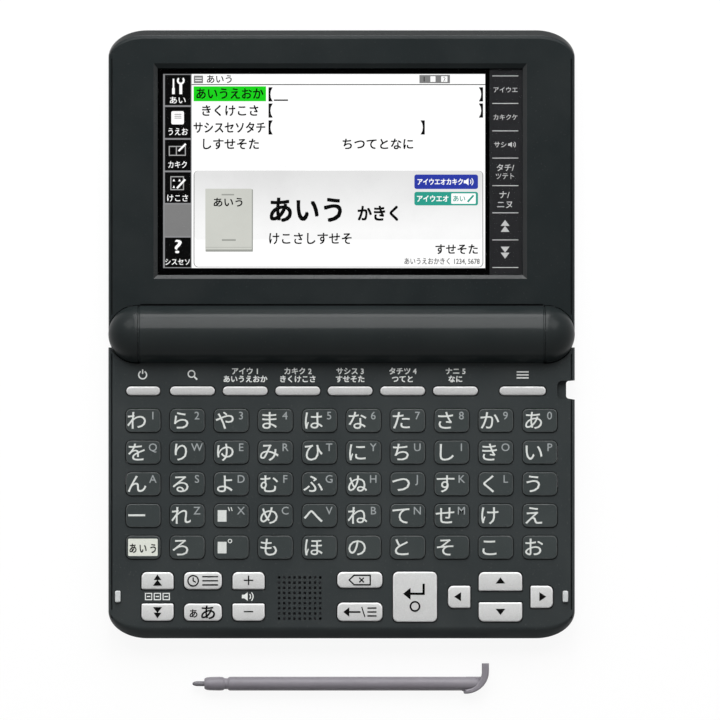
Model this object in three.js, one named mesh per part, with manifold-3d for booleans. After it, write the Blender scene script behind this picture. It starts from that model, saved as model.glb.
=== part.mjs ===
// Pocket electronic dictionary: a keyboard half and a screen half on a battery barrel hinge, opened flat on a
// table, with its touch pen drawn out of the silo and laid in front of it.
// Units are millimetres. +X runs along the keyboard to the right, +Y from the keyboard to the screen, +Z up.
// A distance whose name ends in At is measured from the hinge axis towards the user, unless its comment says
// otherwise.
import * as THREE from "three";
import { mergeVertices } from "three/addons/utils/BufferGeometryUtils.js";
import Module from "manifold-3d";

const wasm = await Module();
wasm.setup();

// Clearances
const seat = 0.1; // between two faces that touch
const runningGap = 0.35; // between parts that turn past each other
const keyClearance = 0.25; // round a key in its opening
const overrun = 1; // how far a cut runs past the face that it opens

// Keyboard layout
const keyColumns = 10;
const letterRowCount = 5;
const letterPitchX = 13.98;
const letterPitchY = 10.1;
const letterWidth = 11.4;
const letterDepth = 7.8;
const letterCornerRadius = 1.9;
const letterSideMargin = 5.39; // outermost letter key to the side of the case
const functionRowAt = 18;
const functionToLetters = 9.4;
const lettersToCommands = 10.4;
const commandRowPitch = 10;
const frontMargin = 8.3; // lower command row to the front edge

const keyHalfSpan = ((keyColumns - 1) / 2) * letterPitchX;
const firstLetterRowAt = functionRowAt + functionToLetters;
const lastLetterRowAt = firstLetterRowAt + (letterRowCount - 1) * letterPitchY;
const upperCommandAt = lastLetterRowAt + lettersToCommands;
const lowerCommandAt = upperCommandAt + commandRowPitch;
const middleCommandAt = (upperCommandAt + lowerCommandAt) / 2;

// Case outline, alike for both halves
const caseWidth = 2 * (keyHalfSpan + letterWidth / 2 + letterSideMargin);
const caseReach = lowerCommandAt + frontMargin;
const cornerRadius = 10;
const cornerSteps = 7;
const wall = 1.5;

// Hinge and battery barrel
const cellRadius = 7.15;
const baySlack = 0.45; // round a cell
const barrelWall = 1.4;
const barrelLift = 0.4; // barrel above the table
const barrelSides = 40;
const capGap = 0.5; // barrel end to hinge cap
const caseToBarrel = 0.3; // gap between a case half and the barrel
const baseHornAt = 4.2; // how near the base's rear corners come to the hinge axis
const bayRadius = cellRadius + baySlack;
const barrelRadius = bayRadius + barrelWall;
const hingeHeight = barrelRadius + barrelLift;
const capFaceX = caseWidth / 2 - barrelRadius;
const barrelHalf = capFaceX - capGap;
const barrelCutAt = barrelRadius + caseToBarrel;

// Base stack, from the table up
const footHeight = 0.8;
const floorThickness = 1.2;
const penDiameter = 4.4;
const penBoreClearance = 0.1;
const siloFloor = 0.7;
const siloRoof = 0.35;
const boardThickness = 0.55;
const matThickness = 0.3;
const keyTravel = 0.7;
const flangeThickness = 0.4;
const fasciaPlate = 1.1;

const baseBottom = footHeight;
const floorTop = baseBottom + floorThickness;
const penBore = penDiameter + 2 * penBoreClearance;
const siloBottom = baseBottom + siloFloor;
const siloTop = siloBottom + penBore;
const boardBottom = siloTop + siloRoof + seat / 2;
const boardTop = boardBottom + boardThickness;
const matBottom = boardTop + seat / 2;
const matTop = matBottom + matThickness;
const flangeBottom = matTop + seat + keyTravel;
const flangeTop = flangeBottom + flangeThickness;
const plateBottom = flangeTop + seat;
const baseTop = plateBottom + fasciaPlate;
const baseSplit = boardBottom;

// Lid stack, from its inner face down while it lies open
const closedGap = 1; // between the two inner faces when shut
const bezelPlate = 1.2;
const glassThickness = 0.7;
const panelThickness = 1.9;
const frameSheet = 0.4;
const lidPlate = 1.2;

const lidFace = 2 * hingeHeight - baseTop - closedGap;
const bezelUnderside = lidFace - bezelPlate;
const glassTop = bezelUnderside - seat;
const glassBottom = glassTop - glassThickness;
const panelTop = glassBottom - seat;
const panelBottom = panelTop - panelThickness;
const frameBottom = panelBottom - seat - frameSheet;
const lidPlateTop = frameBottom - seat;
const lidBack = lidPlateTop - lidPlate;
const lidSplit = (lidFace + lidBack) / 2;

// Edge rounding of the halves: how far an edge is drawn in, and over what height
const sideEdgeInset = 0.9;
const sideEdgeDrop = 0.9;
const baseFrontInset = 3.9;
const baseFrontDrop = 2.8;
const lidFarInset = 3;
const lidFarDrop = 2.2;
const outerEdgeInset = 2;
const outerEdgeDrop = 2.2;
const edgeSteps = 4;
const sideEdge = { inset: sideEdgeInset, drop: sideEdgeDrop };
const baseFrontEdge = { inset: baseFrontInset, drop: baseFrontDrop };
const lidFarEdge = { inset: lidFarInset, drop: lidFarDrop };
const outerEdge = { inset: outerEdgeInset, drop: outerEdgeDrop };

// Screen
const windowWidth = 118.1;
const windowHeight = 67.9;
const windowChin = 17.8; // hinge axis to the window's near edge, measured along +Y
const windowOffsetX = -0.2;
const windowBevel = 1.2;
const glassMargin = 2; // glass hidden under the bezel, past the bevel
const panelWidth = 106;
const panelHeight = 66;
const panelOffsetX = -5.4;

// Hinge brackets, inside the lid and the hinge caps
const shaftRadius = 2.4;
const shaftReach = 8; // into the barrel's end
const eyeRadius = 3.4;
const armThickness = 1.6;
const armHalfWidth = 1.1;
const armPlay = 0.5; // slot beside the arm
const armSetIn = 1.2; // cap face to arm
const armEndAt = 12; // along +Y
const armEndDrop = 4.6; // below the hinge axis
const armStartDrop = 1;
const bracketToPanel = 0.6; // bracket's foot to the display frame
const bracketFootWidth = 6.8;
const bracketFootThickness = 1;
const pocketRadius = 5.6;
const pocketDepth = 3.4;
const capSteps = 5;
const capSides = 24;

// Battery bay, cells and contacts
const cellLength = 50.5;
const cellNubRadius = 2.75;
const cellNubLength = 1.3;
const cellEdge = 0.6;
const cellSides = 16;
const contactThickness = 0.4;
const springRoom = 4; // left for the coil spring at the negative end
const springWire = 0.8;
const springTurns = 4;
const springTopRadius = 2.6;
const springBaseRadius = 4.4;
const springStepsPerTurn = 8;
const springSides = 5;
const contactWidth = 10;
const bayHalf = (2 * cellLength + springRoom + 2 * contactThickness + 3 * seat) / 2;
const bayWall = 1.3;
const coverWall = 1.2;
const coverLedge = 1.2; // barrel end that the cover overlaps
const coverRise = Math.PI / 8; // how far under the hinge axis the cover stops at the back, as an angle
const coverGap = 0.15;
const barrelFlangeDepth = 3.8;
const barrelFlangeThickness = 1.1;

// Pen silo and the notch for the pen's hook
const siloWall = 0.8;
const siloLength = 92; // from the notch's inner face to the silo's blind end
const siloEndWall = 1;
const notchDepth = 2.9;
const notchWidth = 5.6;
const notchFlare = 0.4; // each side widens by this at the case's edge
const scoopDepth = 2.3; // thumb recess beside the notch
const scoopWidth = 6;
const scoopFloor = 0.9; // material left under the thumb recess
const notchBlockWall = 1.5;

// Board, mat, plate and speaker
const boardSideMargin = 6; // board to the side of the case
const boardRearAt = 13.5;
const boardFrontMargin = 5;
const plateThickness = 0.4;
const plateSideMargin = 16;
const bossRadius = 2;
const bossInset = 2.2; // from the board's edge to a boss
const bossSides = 10;
const bossSpanShare = 0.7; // of the plate's half width, to its bosses
const speakerX = -13.3;
const speakerShift = 0.5; // in front of the middle between the command rows
const speakerAt = middleCommandAt + speakerShift;
const speakerRadius = 9;
const speakerRim = 1.2;
const speakerDepth = 2.6;
const magnetRadius = 5;
const magnetDepth = 1.3;
const speakerSides = 20;
const grilleCount = 9;
const grillePitch = 1.63;
const grilleHole = 0.8;

// Sockets in the sides
const jackAt = 30;
const jackBoreRadius = 1.78;
const jackHoleRadius = 2.2;
const jackBodyLength = 11;
const jackBodyWidth = 6;
const jackBoreDepth = 9;
const jackSides = 14;
const usbAt = 44;
const usbWidth = 7.4;
const usbHeight = 2.6;
const usbLength = 5.8;
const usbWall = 0.35;
const usbMouthMargin = 0.3;
const usbSetBack = 0.8; // behind the case's side
const cardAt = 42;
const cardWidth = 13;
const cardLength = 13;
const cardHeight = 1.5;
const cardSlotWidth = 11.4;
const cardSlotHeight = 0.9;
const cardSlotDepth = 11;

// Feet and lid bumpers
const footRadius = 3.2;
const footRecess = 0.3;
const footSides = 14;
const frontFootX = 58;
const frontFootAt = 84;
const bumperX = 71;
const bumperWidth = 1.9;
const bumperLength = 3.7;
const bumperHeight = 0.8;
const bumperRecess = 0.4;
const bumperCorner = 0.4;

// Keys
const letterRise = 0.5; // cap above the fascia
const commandRise = 0.7;
const flangeMargin = 0.5;
const keyCornerSteps = 2;
const functionDepth = 3.15;
const functionCorner = 1.45;
const powerWidth = 11;
const shortcutWidth = 14.5;
const menuWidth = 15;
const commandDepth = 5.8;
const roundCorner = 1.4;
const squareCorner = 0.4;
const pageWidth = 10.5;
const listWidth = 12.3;
const editWidth = 14.6;
const enterWidth = 14.3;
const enterDepth = 16;
const cursorTallWidth = 7.4;
const cursorTallDepth = 7.1;
const cursorWideWidth = 14.1;
const cursorWideDepth = 6.3;

// Places of the silver keys along their rows, as shares of the letter columns' half span
const placeShares = {
  power: -1,
  search: -0.752,
  shortcuts: [-0.486, -0.221, 0.043, 0.308, 0.574],
  menu: 0.913,
  page: -0.928,
  list: -0.699,
  volume: -0.469,
  edit: 0.092,
  enter: 0.37,
  cursorLeft: 0.593,
  cursorMiddle: 0.801,
  cursorRight: 1.009,
};

// Pen
const penRowAt = 111; // the laid-out pen's axis in front of the hinge axis
const penTipX = -47.4; // where the pen's tip lies
const penLength = 94.2;
const nibLength = 3.8;
const nibRadius = 0.82;
const nibTipRadius = 0.45;
const nibRoot = 1.5; // nib inside the pen's nose
const noseLength = 6.3;
const noseFrontRadius = 1.7;
const grooveWidth = 1.4;
const grooveRadius = 1.75;
const penSides = 16;
const hookThickness = 4.2;
const hookTabWidth = 2.25;
const hookRise = 6.46; // tab's end above the pen's axis
const hookCurveRise = 3.9; // where the tab turns into the curve
const hookCurveLength = 7.5;
const hookDrop = 3.2; // curve's low end below the pen's axis
const hookToe = 1.2; // thickness of the curve's low end
const hookRootDepth = 1.6; // socket in the hook that holds the barrel's end
const hookCurveSteps = 8;

// Where the group's origin lies: on the table, in the middle of the whole object as laid out
const originY = (penRowAt + hookDrop - caseReach) / 2;

const alongZ = (u, v, w) => [u, v, w];
const alongX = (u, v, w) => [w, u, v];

// A manifold solid from a closed three.js geometry
function solidOf(geometry) {
  const bare = geometry.clone();
  bare.deleteAttribute("normal");
  bare.deleteAttribute("uv");
  const merged = mergeVertices(bare);
  const corners = merged.index.array;
  const triangles = [];
  for (let i = 0; i < corners.length; i += 3) {
    const [a, b, c] = corners.slice(i, i + 3);
    if (a !== b && b !== c && c !== a) triangles.push(a, b, c);
  }
  const mesh = new wasm.Mesh({
    numProp: 3,
    vertProperties: merged.getAttribute("position").array,
    triVerts: new Uint32Array(triangles),
  });
  return new wasm.Manifold(mesh);
}

// A named mesh from a manifold solid
function piece(name, solid, material) {
  const { vertProperties, triVerts } = solid.getMesh();
  const geometry = new THREE.BufferGeometry();
  geometry.setAttribute("position", new THREE.BufferAttribute(vertProperties, 3));
  geometry.setIndex(new THREE.BufferAttribute(triVerts, 1));
  geometry.computeVertexNormals();
  const mesh = new THREE.Mesh(geometry, material);
  mesh.name = name;
  return mesh;
}

// Triangles that fill an outline, all facing the same way
function fill(points) {
  const contour = points.map(([u, v]) => new THREE.Vector2(u, v));
  return THREE.ShapeUtils.triangulateShape(contour, []).map(([a, b, c]) => {
    const area = THREE.ShapeUtils.area([contour[a], contour[b], contour[c]]);
    return area > 0 ? [a, b, c] : [a, c, b];
  });
}

// A solid through rings { at, points } that have as many points each and run anticlockwise
function loft(rings, place = alongZ) {
  const count = rings[0].points.length;
  const last = (rings.length - 1) * count;
  const positions = rings.flatMap(({ at, points }) => points.flatMap(([u, v]) => place(u, v, at)));
  const faces = [];
  for (let start = 0; start < last; start += count)
    for (let i = 0; i < count; i++) {
      const a = start + i;
      const b = start + ((i + 1) % count);
      faces.push(a, b, b + count, a, b + count, a + count);
    }
  for (const [a, b, c] of fill(rings[0].points)) faces.push(a, c, b);
  for (const [a, b, c] of fill(rings.at(-1).points)) faces.push(last + a, last + b, last + c);
  const geometry = new THREE.BufferGeometry();
  geometry.setAttribute("position", new THREE.Float32BufferAttribute(positions, 3));
  geometry.setIndex(faces);
  return solidOf(geometry);
}

// A straight prism of an outline between two heights
function prism(points, low, high, place = alongZ) {
  return loft([{ at: low, points }, { at: high, points }], place);
}

// A box between two corners
function block(x0, x1, y0, y1, z0, z1) {
  const geometry = new THREE.BoxGeometry(x1 - x0, y1 - y0, z1 - z0);
  geometry.translate((x0 + x1) / 2, (y0 + y1) / 2, (z0 + z1) / 2);
  return solidOf(geometry);
}

// A cylinder along Z
function upright(x, y, radius, low, high, sides) {
  const geometry = new THREE.CylinderGeometry(radius, radius, high - low, sides);
  geometry.rotateX(Math.PI / 2);
  geometry.translate(x, y, (low + high) / 2);
  return solidOf(geometry);
}

// A cylinder along X
function crosswise(x0, x1, y, z, radius, sides) {
  const geometry = new THREE.CylinderGeometry(radius, radius, x1 - x0, sides);
  geometry.rotateZ(Math.PI / 2);
  geometry.translate((x0 + x1) / 2, y, z);
  return solidOf(geometry);
}

// A solid turned about an axis through (y, z) along X. Its profile is [x, radius] points from low x to high x,
// starting and ending on the axis.
function turned(profile, y, z, sides) {
  const points = profile.map(([x, radius]) => new THREE.Vector2(radius, x));
  const geometry = new THREE.LatheGeometry(points, sides);
  geometry.rotateZ(-Math.PI / 2);
  geometry.translate(0, y, z);
  return solidOf(geometry);
}

// The points of an arc, from one angle to another, as a quarter of an ellipse or any other part of one
function arc(cx, cy, rx, ry, from, to, steps) {
  return Array.from({ length: steps + 1 }, (_, i) => {
    const angle = from + ((to - from) * i) / steps;
    return [cx + rx * Math.cos(angle), cy + ry * Math.sin(angle)];
  });
}

// A rectangle about the origin whose corners have their own radii, from the right rear corner anticlockwise
function roundedOutline(width, depth, radii, steps = keyCornerSteps) {
  const signs = [[1, 1], [-1, 1], [-1, -1], [1, -1]];
  return signs.flatMap(([sx, sy], corner) => {
    const radius = radii[corner];
    const start = (corner * Math.PI) / 2;
    const centre = [sx * (width / 2 - radius), sy * (depth / 2 - radius)];
    return arc(...centre, radius, radius, start, start + Math.PI / 2, steps);
  });
}

const rectangle = (x0, x1, y0, y1) => [[x0, y0], [x1, y0], [x1, y1], [x0, y1]];
const moved = (points, x, y) => points.map(([u, v]) => [u + x, v + y]);
const both = (make) => [-1, 1].map(make);
const inOrder = (a, b) => [Math.min(a, b), Math.max(a, b)];
const allRound = (radius) => [radius, radius, radius, radius];

// The plan of one half of the case. The base lies towards -Y and the lid towards +Y, so side is -1 or 1. Both
// end in two horns that reach past the barrel's ends to the distance hornAt from the hinge axis.
function casePlan(side, sideInset, endInset, hornAt) {
  const halfWidth = caseWidth / 2 - sideInset;
  const centreX = caseWidth / 2 - cornerRadius;
  const centreY = caseReach - cornerRadius;
  const rx = cornerRadius - sideInset;
  const ry = cornerRadius - endInset;
  const points = [
    [-halfWidth, hornAt],
    ...arc(-centreX, centreY, rx, ry, Math.PI, Math.PI / 2, cornerSteps),
    ...arc(centreX, centreY, rx, ry, Math.PI / 2, 0, cornerSteps),
    [halfWidth, hornAt],
    [capFaceX, hornAt],
    [capFaceX, barrelCutAt],
    [-capFaceX, barrelCutAt],
    [-capFaceX, hornAt],
  ];
  const placed = points.map(([x, distance]) => [x, side * distance]);
  return side < 0 ? placed : placed.reverse();
}

// How far a rounded edge is drawn in at a depth below its face
function edgeInset({ inset, drop }, depth) {
  if (depth >= drop) return 0;
  const share = 1 - depth / drop;
  return inset * (1 - Math.sqrt(1 - share * share));
}

// A shell from its split face to its outer face, with its edges rounded along the sides and along the end
function caseForm(side, hornAt, splitZ, faceZ, alongSides, alongEnd) {
  const up = Math.sign(faceZ - splitZ);
  const depths = [Math.abs(faceZ - splitZ)];
  for (let i = 0; i <= edgeSteps; i++) {
    depths.push(alongEnd.drop * (1 - Math.sin((i * Math.PI) / 2 / edgeSteps)));
  }
  const rings = depths.map((depth) => ({
    at: faceZ - up * depth,
    points: casePlan(side, edgeInset(alongSides, depth), edgeInset(alongEnd, depth), hornAt),
  }));
  return loft(up > 0 ? rings : rings.reverse());
}

// The space inside a half, between two heights
function caseCavity(side, endWall, low, high) {
  const halfWidth = caseWidth / 2 - wall;
  const depth = caseReach - endWall - barrelCutAt - wall;
  const far = cornerRadius - wall;
  const radii = side < 0 ? [seat, seat, far, far] : [far, far, seat, seat];
  const centreY = side * (barrelCutAt + wall + depth / 2);
  return prism(moved(roundedOutline(2 * halfWidth, depth, radii, cornerSteps), 0, centreY), low, high);
}

// Balls round the hinge caps, which the case halves are cut back to clear
function capClearance() {
  return both((side) => {
    const geometry = new THREE.SphereGeometry(barrelRadius + runningGap, capSides, capSides / 2);
    geometry.rotateZ(Math.PI / 2);
    geometry.translate(side * capFaceX, 0, hingeHeight);
    return solidOf(geometry);
  });
}

const cut = (solid, ...tools) => tools.flat().reduce((left, tool) => left.subtract(tool), solid);
const join = (solid, ...added) => added.flat().reduce((whole, one) => whole.add(one), solid);

const plastic = (color, roughness) => new THREE.MeshStandardMaterial({ color, roughness, metalness: 0 });
const metal = (color, roughness) => new THREE.MeshStandardMaterial({ color, roughness, metalness: 1 });
const transparent = true;
const materials = {
  caseBlack: plastic(0x33393b, 0.55),
  letterKey: plastic(0x363c3e, 0.5),
  silverKey: plastic(0xc9cacb, 0.4),
  rubber: plastic(0x1d1e1f, 0.9),
  bumper: plastic(0xb9bbbb, 0.8),
  board: plastic(0x1f5a3c, 0.6),
  penGrey: plastic(0x86838a, 0.5),
  penNib: plastic(0x6d6d70, 0.6),
  glass: new THREE.MeshStandardMaterial({ color: 0x0b0d0f, roughness: 0.08, transparent, opacity: 0.35 }),
  panel: plastic(0xf4f6f6, 0.5),
  cell: metal(0x7f8790, 0.4),
  steel: metal(0xb6b9bb, 0.35),
  aluminium: metal(0xc4c6c8, 0.45),
  speaker: metal(0x55585a, 0.5),
};

// Lid

// Slots that let the hinge brackets' arms out of the caps and into the lid
function armSlots() {
  const x = capFaceX + armSetIn + armThickness / 2;
  const halfSlot = armThickness / 2 + armPlay;
  const high = hingeHeight - armEndDrop + 2 * armHalfWidth;
  const low = hingeHeight - armEndDrop - armHalfWidth + seat;
  return both((side) =>
    block(side * x - halfSlot, side * x + halfSlot, pocketRadius, barrelCutAt + wall + seat, low, high),
  );
}

function lidOuterShell() {
  const form = caseForm(1, 0, lidSplit - seat / 2, lidBack, outerEdge, lidFarEdge);
  const cavity = caseCavity(1, wall + seat, lidPlateTop, lidSplit);
  return cut(form, cavity, capClearance(), armSlots());
}

function lidBezel() {
  const form = caseForm(1, 0, lidSplit + seat / 2, lidFace, sideEdge, lidFarEdge);
  const cavity = caseCavity(1, lidFarInset, lidSplit, bezelUnderside);
  const x = windowWidth / 2;
  const inner = x - windowBevel;
  const near = windowChin;
  const far = windowChin + windowHeight;
  const window = loft([
    { at: bezelUnderside - overrun, points: rectangle(-inner, inner, near + windowBevel, far - windowBevel) },
    { at: bezelUnderside, points: rectangle(-inner, inner, near + windowBevel, far - windowBevel) },
    { at: lidFace, points: rectangle(-x, x, near, far) },
    { at: lidFace + overrun, points: rectangle(-x, x, near, far) },
  ]);
  return cut(form, cavity, window.translate([windowOffsetX, 0, 0]), capClearance(), armSlots());
}

const windowCentreY = windowChin + windowHeight / 2;

function touchGlass() {
  const halfWidth = windowWidth / 2 - windowBevel + glassMargin;
  const halfHeight = windowHeight / 2 - windowBevel + glassMargin;
  return block(
    windowOffsetX - halfWidth,
    windowOffsetX + halfWidth,
    windowCentreY - halfHeight,
    windowCentreY + halfHeight,
    glassBottom,
    glassTop,
  );
}

// A block about the panel's place, wider than the panel by a margin on each side
function panelBlock(margin, low, high) {
  const x = panelWidth / 2 + margin;
  const y = panelHeight / 2 + margin;
  return block(panelOffsetX - x, panelOffsetX + x, windowCentreY - y, windowCentreY + y, low, high);
}

const displayPanel = () => panelBlock(0, panelBottom, panelTop);

function displayFrame() {
  const tray = panelBlock(seat + frameSheet, frameBottom, panelTop);
  return cut(tray, panelBlock(seat, frameBottom + frameSheet, panelTop + overrun));
}

// Half ball that covers a hinge bracket's eye, with a pocket for the eye and a slot for its arm
function hingeCap(side) {
  const outer = arc(capFaceX, 0, barrelRadius, barrelRadius, Math.PI / 2, 0, capSteps);
  outer[capSteps] = [capFaceX + barrelRadius, 0];
  const pocketX = capFaceX + pocketDepth;
  const profile = [[pocketX, 0], [pocketX, pocketRadius], [capFaceX, pocketRadius]];
  const cap = turned([...profile, ...outer], 0, hingeHeight, capSides);
  const x = capFaceX + armSetIn + armThickness / 2;
  const halfSlot = armThickness / 2 + armPlay;
  const high = hingeHeight - armStartDrop + armHalfWidth;
  const low = hingeHeight - armEndDrop - armHalfWidth + seat;
  const slotted = cut(cap, block(x - halfSlot, x + halfSlot, 0, barrelRadius, low, high));
  return side > 0 ? slotted : slotted.mirror([1, 0, 0]);
}

// Steel bracket: a foot on the lid's plate, an arm out through the lid's wall, an eye and its shaft
function hingeBracket(side) {
  const armX = capFaceX + armSetIn;
  const slope = new THREE.Vector2(armEndAt, armStartDrop - armEndDrop).normalize();
  const rise = slope.x * armHalfWidth;
  const run = -slope.y * armHalfWidth;
  const startZ = hingeHeight - armStartDrop;
  const endZ = hingeHeight - armEndDrop;
  const armOutline = [
    [-run, startZ - rise],
    [armEndAt - run, endZ - rise],
    [armEndAt + run, endZ + rise],
    [run, startZ + rise],
  ];
  const arm = prism(armOutline, armX, armX + armThickness, alongX);
  const eye = crosswise(armX, armX + armThickness, 0, hingeHeight, eyeRadius, capSides);
  const footX = armX + armThickness;
  const shaft = crosswise(barrelHalf - shaftReach, footX, 0, hingeHeight, shaftRadius, penSides);
  const footZ = lidPlateTop + seat;
  const footEnd = windowCentreY - panelHeight / 2 - frameSheet - bracketToPanel;
  const foot = block(footX - bracketFootWidth, footX, armEndAt, footEnd, footZ, footZ + bracketFootThickness);
  const rib = block(armX, footX, armEndAt - armHalfWidth, footEnd, footZ, endZ + armHalfWidth);
  const bracket = join(arm, eye, shaft, foot, rib);
  return side > 0 ? bracket : bracket.mirror([1, 0, 0]);
}

function lid() {
  const group = new THREE.Group();
  group.add(
    piece("lid_outer_shell", lidOuterShell(), materials.caseBlack),
    piece("lid_bezel", lidBezel(), materials.caseBlack),
    piece("touch_glass", touchGlass(), materials.glass),
    piece("display_panel", displayPanel(), materials.panel),
    piece("display_frame", displayFrame(), materials.aluminium),
    piece("hinge_cap_left", hingeCap(-1), materials.caseBlack),
    piece("hinge_cap_right", hingeCap(1), materials.caseBlack),
    piece("hinge_bracket_left", hingeBracket(-1), materials.steel),
    piece("hinge_bracket_right", hingeBracket(1), materials.steel),
  );
  return group;
}

// Base

const notchFaceX = caseWidth / 2 - notchDepth;

// The through notch in the right side that the stored pen's hook fills
function hookNotch(low, high) {
  const half = notchWidth / 2;
  const wide = half + notchFlare;
  const edge = caseWidth / 2;
  const outline = [
    [notchFaceX, -half],
    [edge - notchFlare, -half],
    [edge, -wide],
    [edge + overrun, -wide],
    [edge + overrun, wide],
    [edge, wide],
    [edge - notchFlare, half],
    [notchFaceX, half],
  ];
  return prism(moved(outline, 0, -functionRowAt), low, high);
}

// Every key of the keyboard: its cap's outline about its own centre, the place of that centre, and its rise
function keyTable() {
  const outline = (width, depth, radii) => roundedOutline(width, depth, radii);
  const cursorTall = [cursorTallWidth, cursorTallDepth];
  const cursorWide = [cursorWideWidth, cursorWideDepth];
  const roundRear = [roundCorner, roundCorner, squareCorner, squareCorner];
  const roundFront = [squareCorner, squareCorner, roundCorner, roundCorner];
  const roundLeft = [squareCorner, roundCorner, roundCorner, squareCorner];
  const roundRight = [roundCorner, squareCorner, squareCorner, roundCorner];
  const pill = allRound(functionCorner);
  const soft = allRound(roundCorner);
  const keys = [
    ["power_key", placeShares.power, functionRowAt, outline(powerWidth, functionDepth, pill)],
    ["search_key", placeShares.search, functionRowAt, outline(shortcutWidth, functionDepth, pill)],
    ...placeShares.shortcuts.map((share, i) => [
      `shortcut_key_${i + 1}`,
      share,
      functionRowAt,
      outline(shortcutWidth, functionDepth, pill),
    ]),
    ["menu_key", placeShares.menu, functionRowAt, outline(menuWidth, functionDepth, pill)],
    ["page_up_key", placeShares.page, upperCommandAt, outline(pageWidth, commandDepth, roundRear)],
    ["page_down_key", placeShares.page, lowerCommandAt, outline(pageWidth, commandDepth, roundFront)],
    ["history_key", placeShares.list, upperCommandAt, outline(listWidth, commandDepth, soft)],
    ["text_size_key", placeShares.list, lowerCommandAt, outline(listWidth, commandDepth, soft)],
    ["volume_up_key", placeShares.volume, upperCommandAt, outline(pageWidth, commandDepth, roundRear)],
    ["volume_down_key", placeShares.volume, lowerCommandAt, outline(pageWidth, commandDepth, roundFront)],
    ["delete_key", placeShares.edit, upperCommandAt, outline(editWidth, commandDepth, soft)],
    ["back_key", placeShares.edit, lowerCommandAt, outline(editWidth, commandDepth, soft)],
    ["enter_key", placeShares.enter, middleCommandAt, outline(enterWidth, enterDepth, soft)],
    ["cursor_left_key", placeShares.cursorLeft, middleCommandAt, outline(...cursorTall, roundLeft)],
    ["cursor_right_key", placeShares.cursorRight, middleCommandAt, outline(...cursorTall, roundRight)],
    ["cursor_up_key", placeShares.cursorMiddle, upperCommandAt, outline(...cursorWide, roundRear)],
    ["cursor_down_key", placeShares.cursorMiddle, lowerCommandAt, outline(...cursorWide, roundFront)],
  ];
  return keys.map(([name, share, at, points]) => ({ name, x: share * keyHalfSpan, y: -at, outline: points }));
}

const commandKeys = keyTable();
const letterOutline = roundedOutline(letterWidth, letterDepth, allRound(letterCornerRadius));
const letterXs = Array.from({ length: keyColumns }, (_, i) => i * letterPitchX - keyHalfSpan);
const letterRowYs = Array.from({ length: letterRowCount }, (_, i) => -firstLetterRowAt - i * letterPitchY);

// Half the width and half the depth of an outline about the origin
function outlineHalves(outline) {
  return [0, 1].map((axis) => Math.max(...outline.map((point) => point[axis])));
}

// An outline grown by a margin on every side, as for an opening or a pocket round a piece
function grown(outline, margin) {
  const [halfWidth, halfDepth] = outlineHalves(outline);
  return outline.map(([x, y]) => [x * (1 + margin / halfWidth), y * (1 + margin / halfDepth)]);
}

// The openings in the fascia, one for each key
function keyOpenings() {
  const low = plateBottom - overrun;
  const high = baseTop + overrun;
  const letters = letterRowYs.flatMap((y) =>
    letterXs.map((x) => prism(moved(grown(letterOutline, keyClearance), x, y), low, high)),
  );
  const commands = commandKeys.map(({ x, y, outline }) =>
    prism(moved(grown(outline, keyClearance), x, y), low, high),
  );
  return [...letters, ...commands];
}

function grilleHoles() {
  const half = grilleHole / 2;
  const places = Array.from({ length: grilleCount }, (_, i) => (i - (grilleCount - 1) / 2) * grillePitch);
  return places.flatMap((dx) =>
    places.map((dy) => {
      const x = speakerX + dx;
      const y = dy - speakerAt;
      return block(x - half, x + half, y - half, y + half, plateBottom - overrun, baseTop + overrun);
    }),
  );
}

const bumperOutline = roundedOutline(bumperWidth, bumperLength, allRound(bumperCorner), 1);

function keyboardFascia() {
  const form = caseForm(-1, baseHornAt, baseSplit + seat / 2, baseTop, sideEdge, baseFrontEdge);
  const hollow = cut(form, caseCavity(-1, baseFrontInset - wall / 2, baseSplit, plateBottom));
  const scoopX = notchFaceX - scoopDepth;
  const pocketFloor = baseTop - fasciaPlate - scoopFloor;
  const pocket = block(
    scoopX - notchBlockWall,
    caseWidth / 2 - wall / 2,
    -functionRowAt - scoopWidth / 2 - notchBlockWall,
    -functionRowAt + scoopWidth / 2 + notchBlockWall,
    baseSplit + seat / 2,
    plateBottom + seat,
  );
  const scoopOutline = roundedOutline(2 * scoopDepth, scoopWidth, allRound(scoopDepth / 2));
  const scoop = prism(moved(scoopOutline, notchFaceX, -functionRowAt), pocketFloor, baseTop + overrun);
  const bumperPockets = both((side) =>
    prism(
      moved(grown(bumperOutline, seat), side * bumperX, -middleCommandAt),
      baseTop - bumperRecess - seat,
      baseTop + overrun,
    ),
  );
  return cut(
    join(hollow, pocket),
    scoop,
    hookNotch(baseBottom - overrun, baseTop + overrun),
    bumperPockets,
    capClearance(),
    keyOpenings(),
    grilleHoles(),
  );
}

// Where the board's corner bosses and the support plate's bosses stand
const boardHalf = caseWidth / 2 - boardSideMargin;
const boardFrontAt = caseReach - boardFrontMargin;
const plateHalf = caseWidth / 2 - plateSideMargin;
const plateNearAt = functionRowAt + penBore / 2 + siloWall + notchBlockWall;
const plateFarAt = lastLetterRowAt + letterDepth / 2 + seat;
const plateTop = boardBottom - seat;
const plateLow = plateTop - plateThickness;

// Bosses on the floor, four under the board and four under the support plate
function bosses() {
  const boss = (x, at, top) => upright(x, -at, bossRadius, floorTop - seat, top, bossSides);
  const setIn = bossRadius + bossInset;
  return both((side) => {
    const boardX = side * (boardHalf - bossInset);
    const plateX = side * plateHalf * bossSpanShare;
    return [
      boss(boardX, lastLetterRowAt, boardBottom - seat),
      boss(boardX, lowerCommandAt, boardBottom - seat),
      boss(plateX, plateNearAt + setIn, plateLow - seat),
      boss(plateX, plateFarAt - setIn, plateLow - seat),
    ];
  }).flat();
}

const usbZ = boardBottom - usbHeight / 2 - 2 * seat;
const cardZ = boardBottom - cardHeight / 2 - seat;
const jackZ = (floorTop + boardBottom) / 2;

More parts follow.
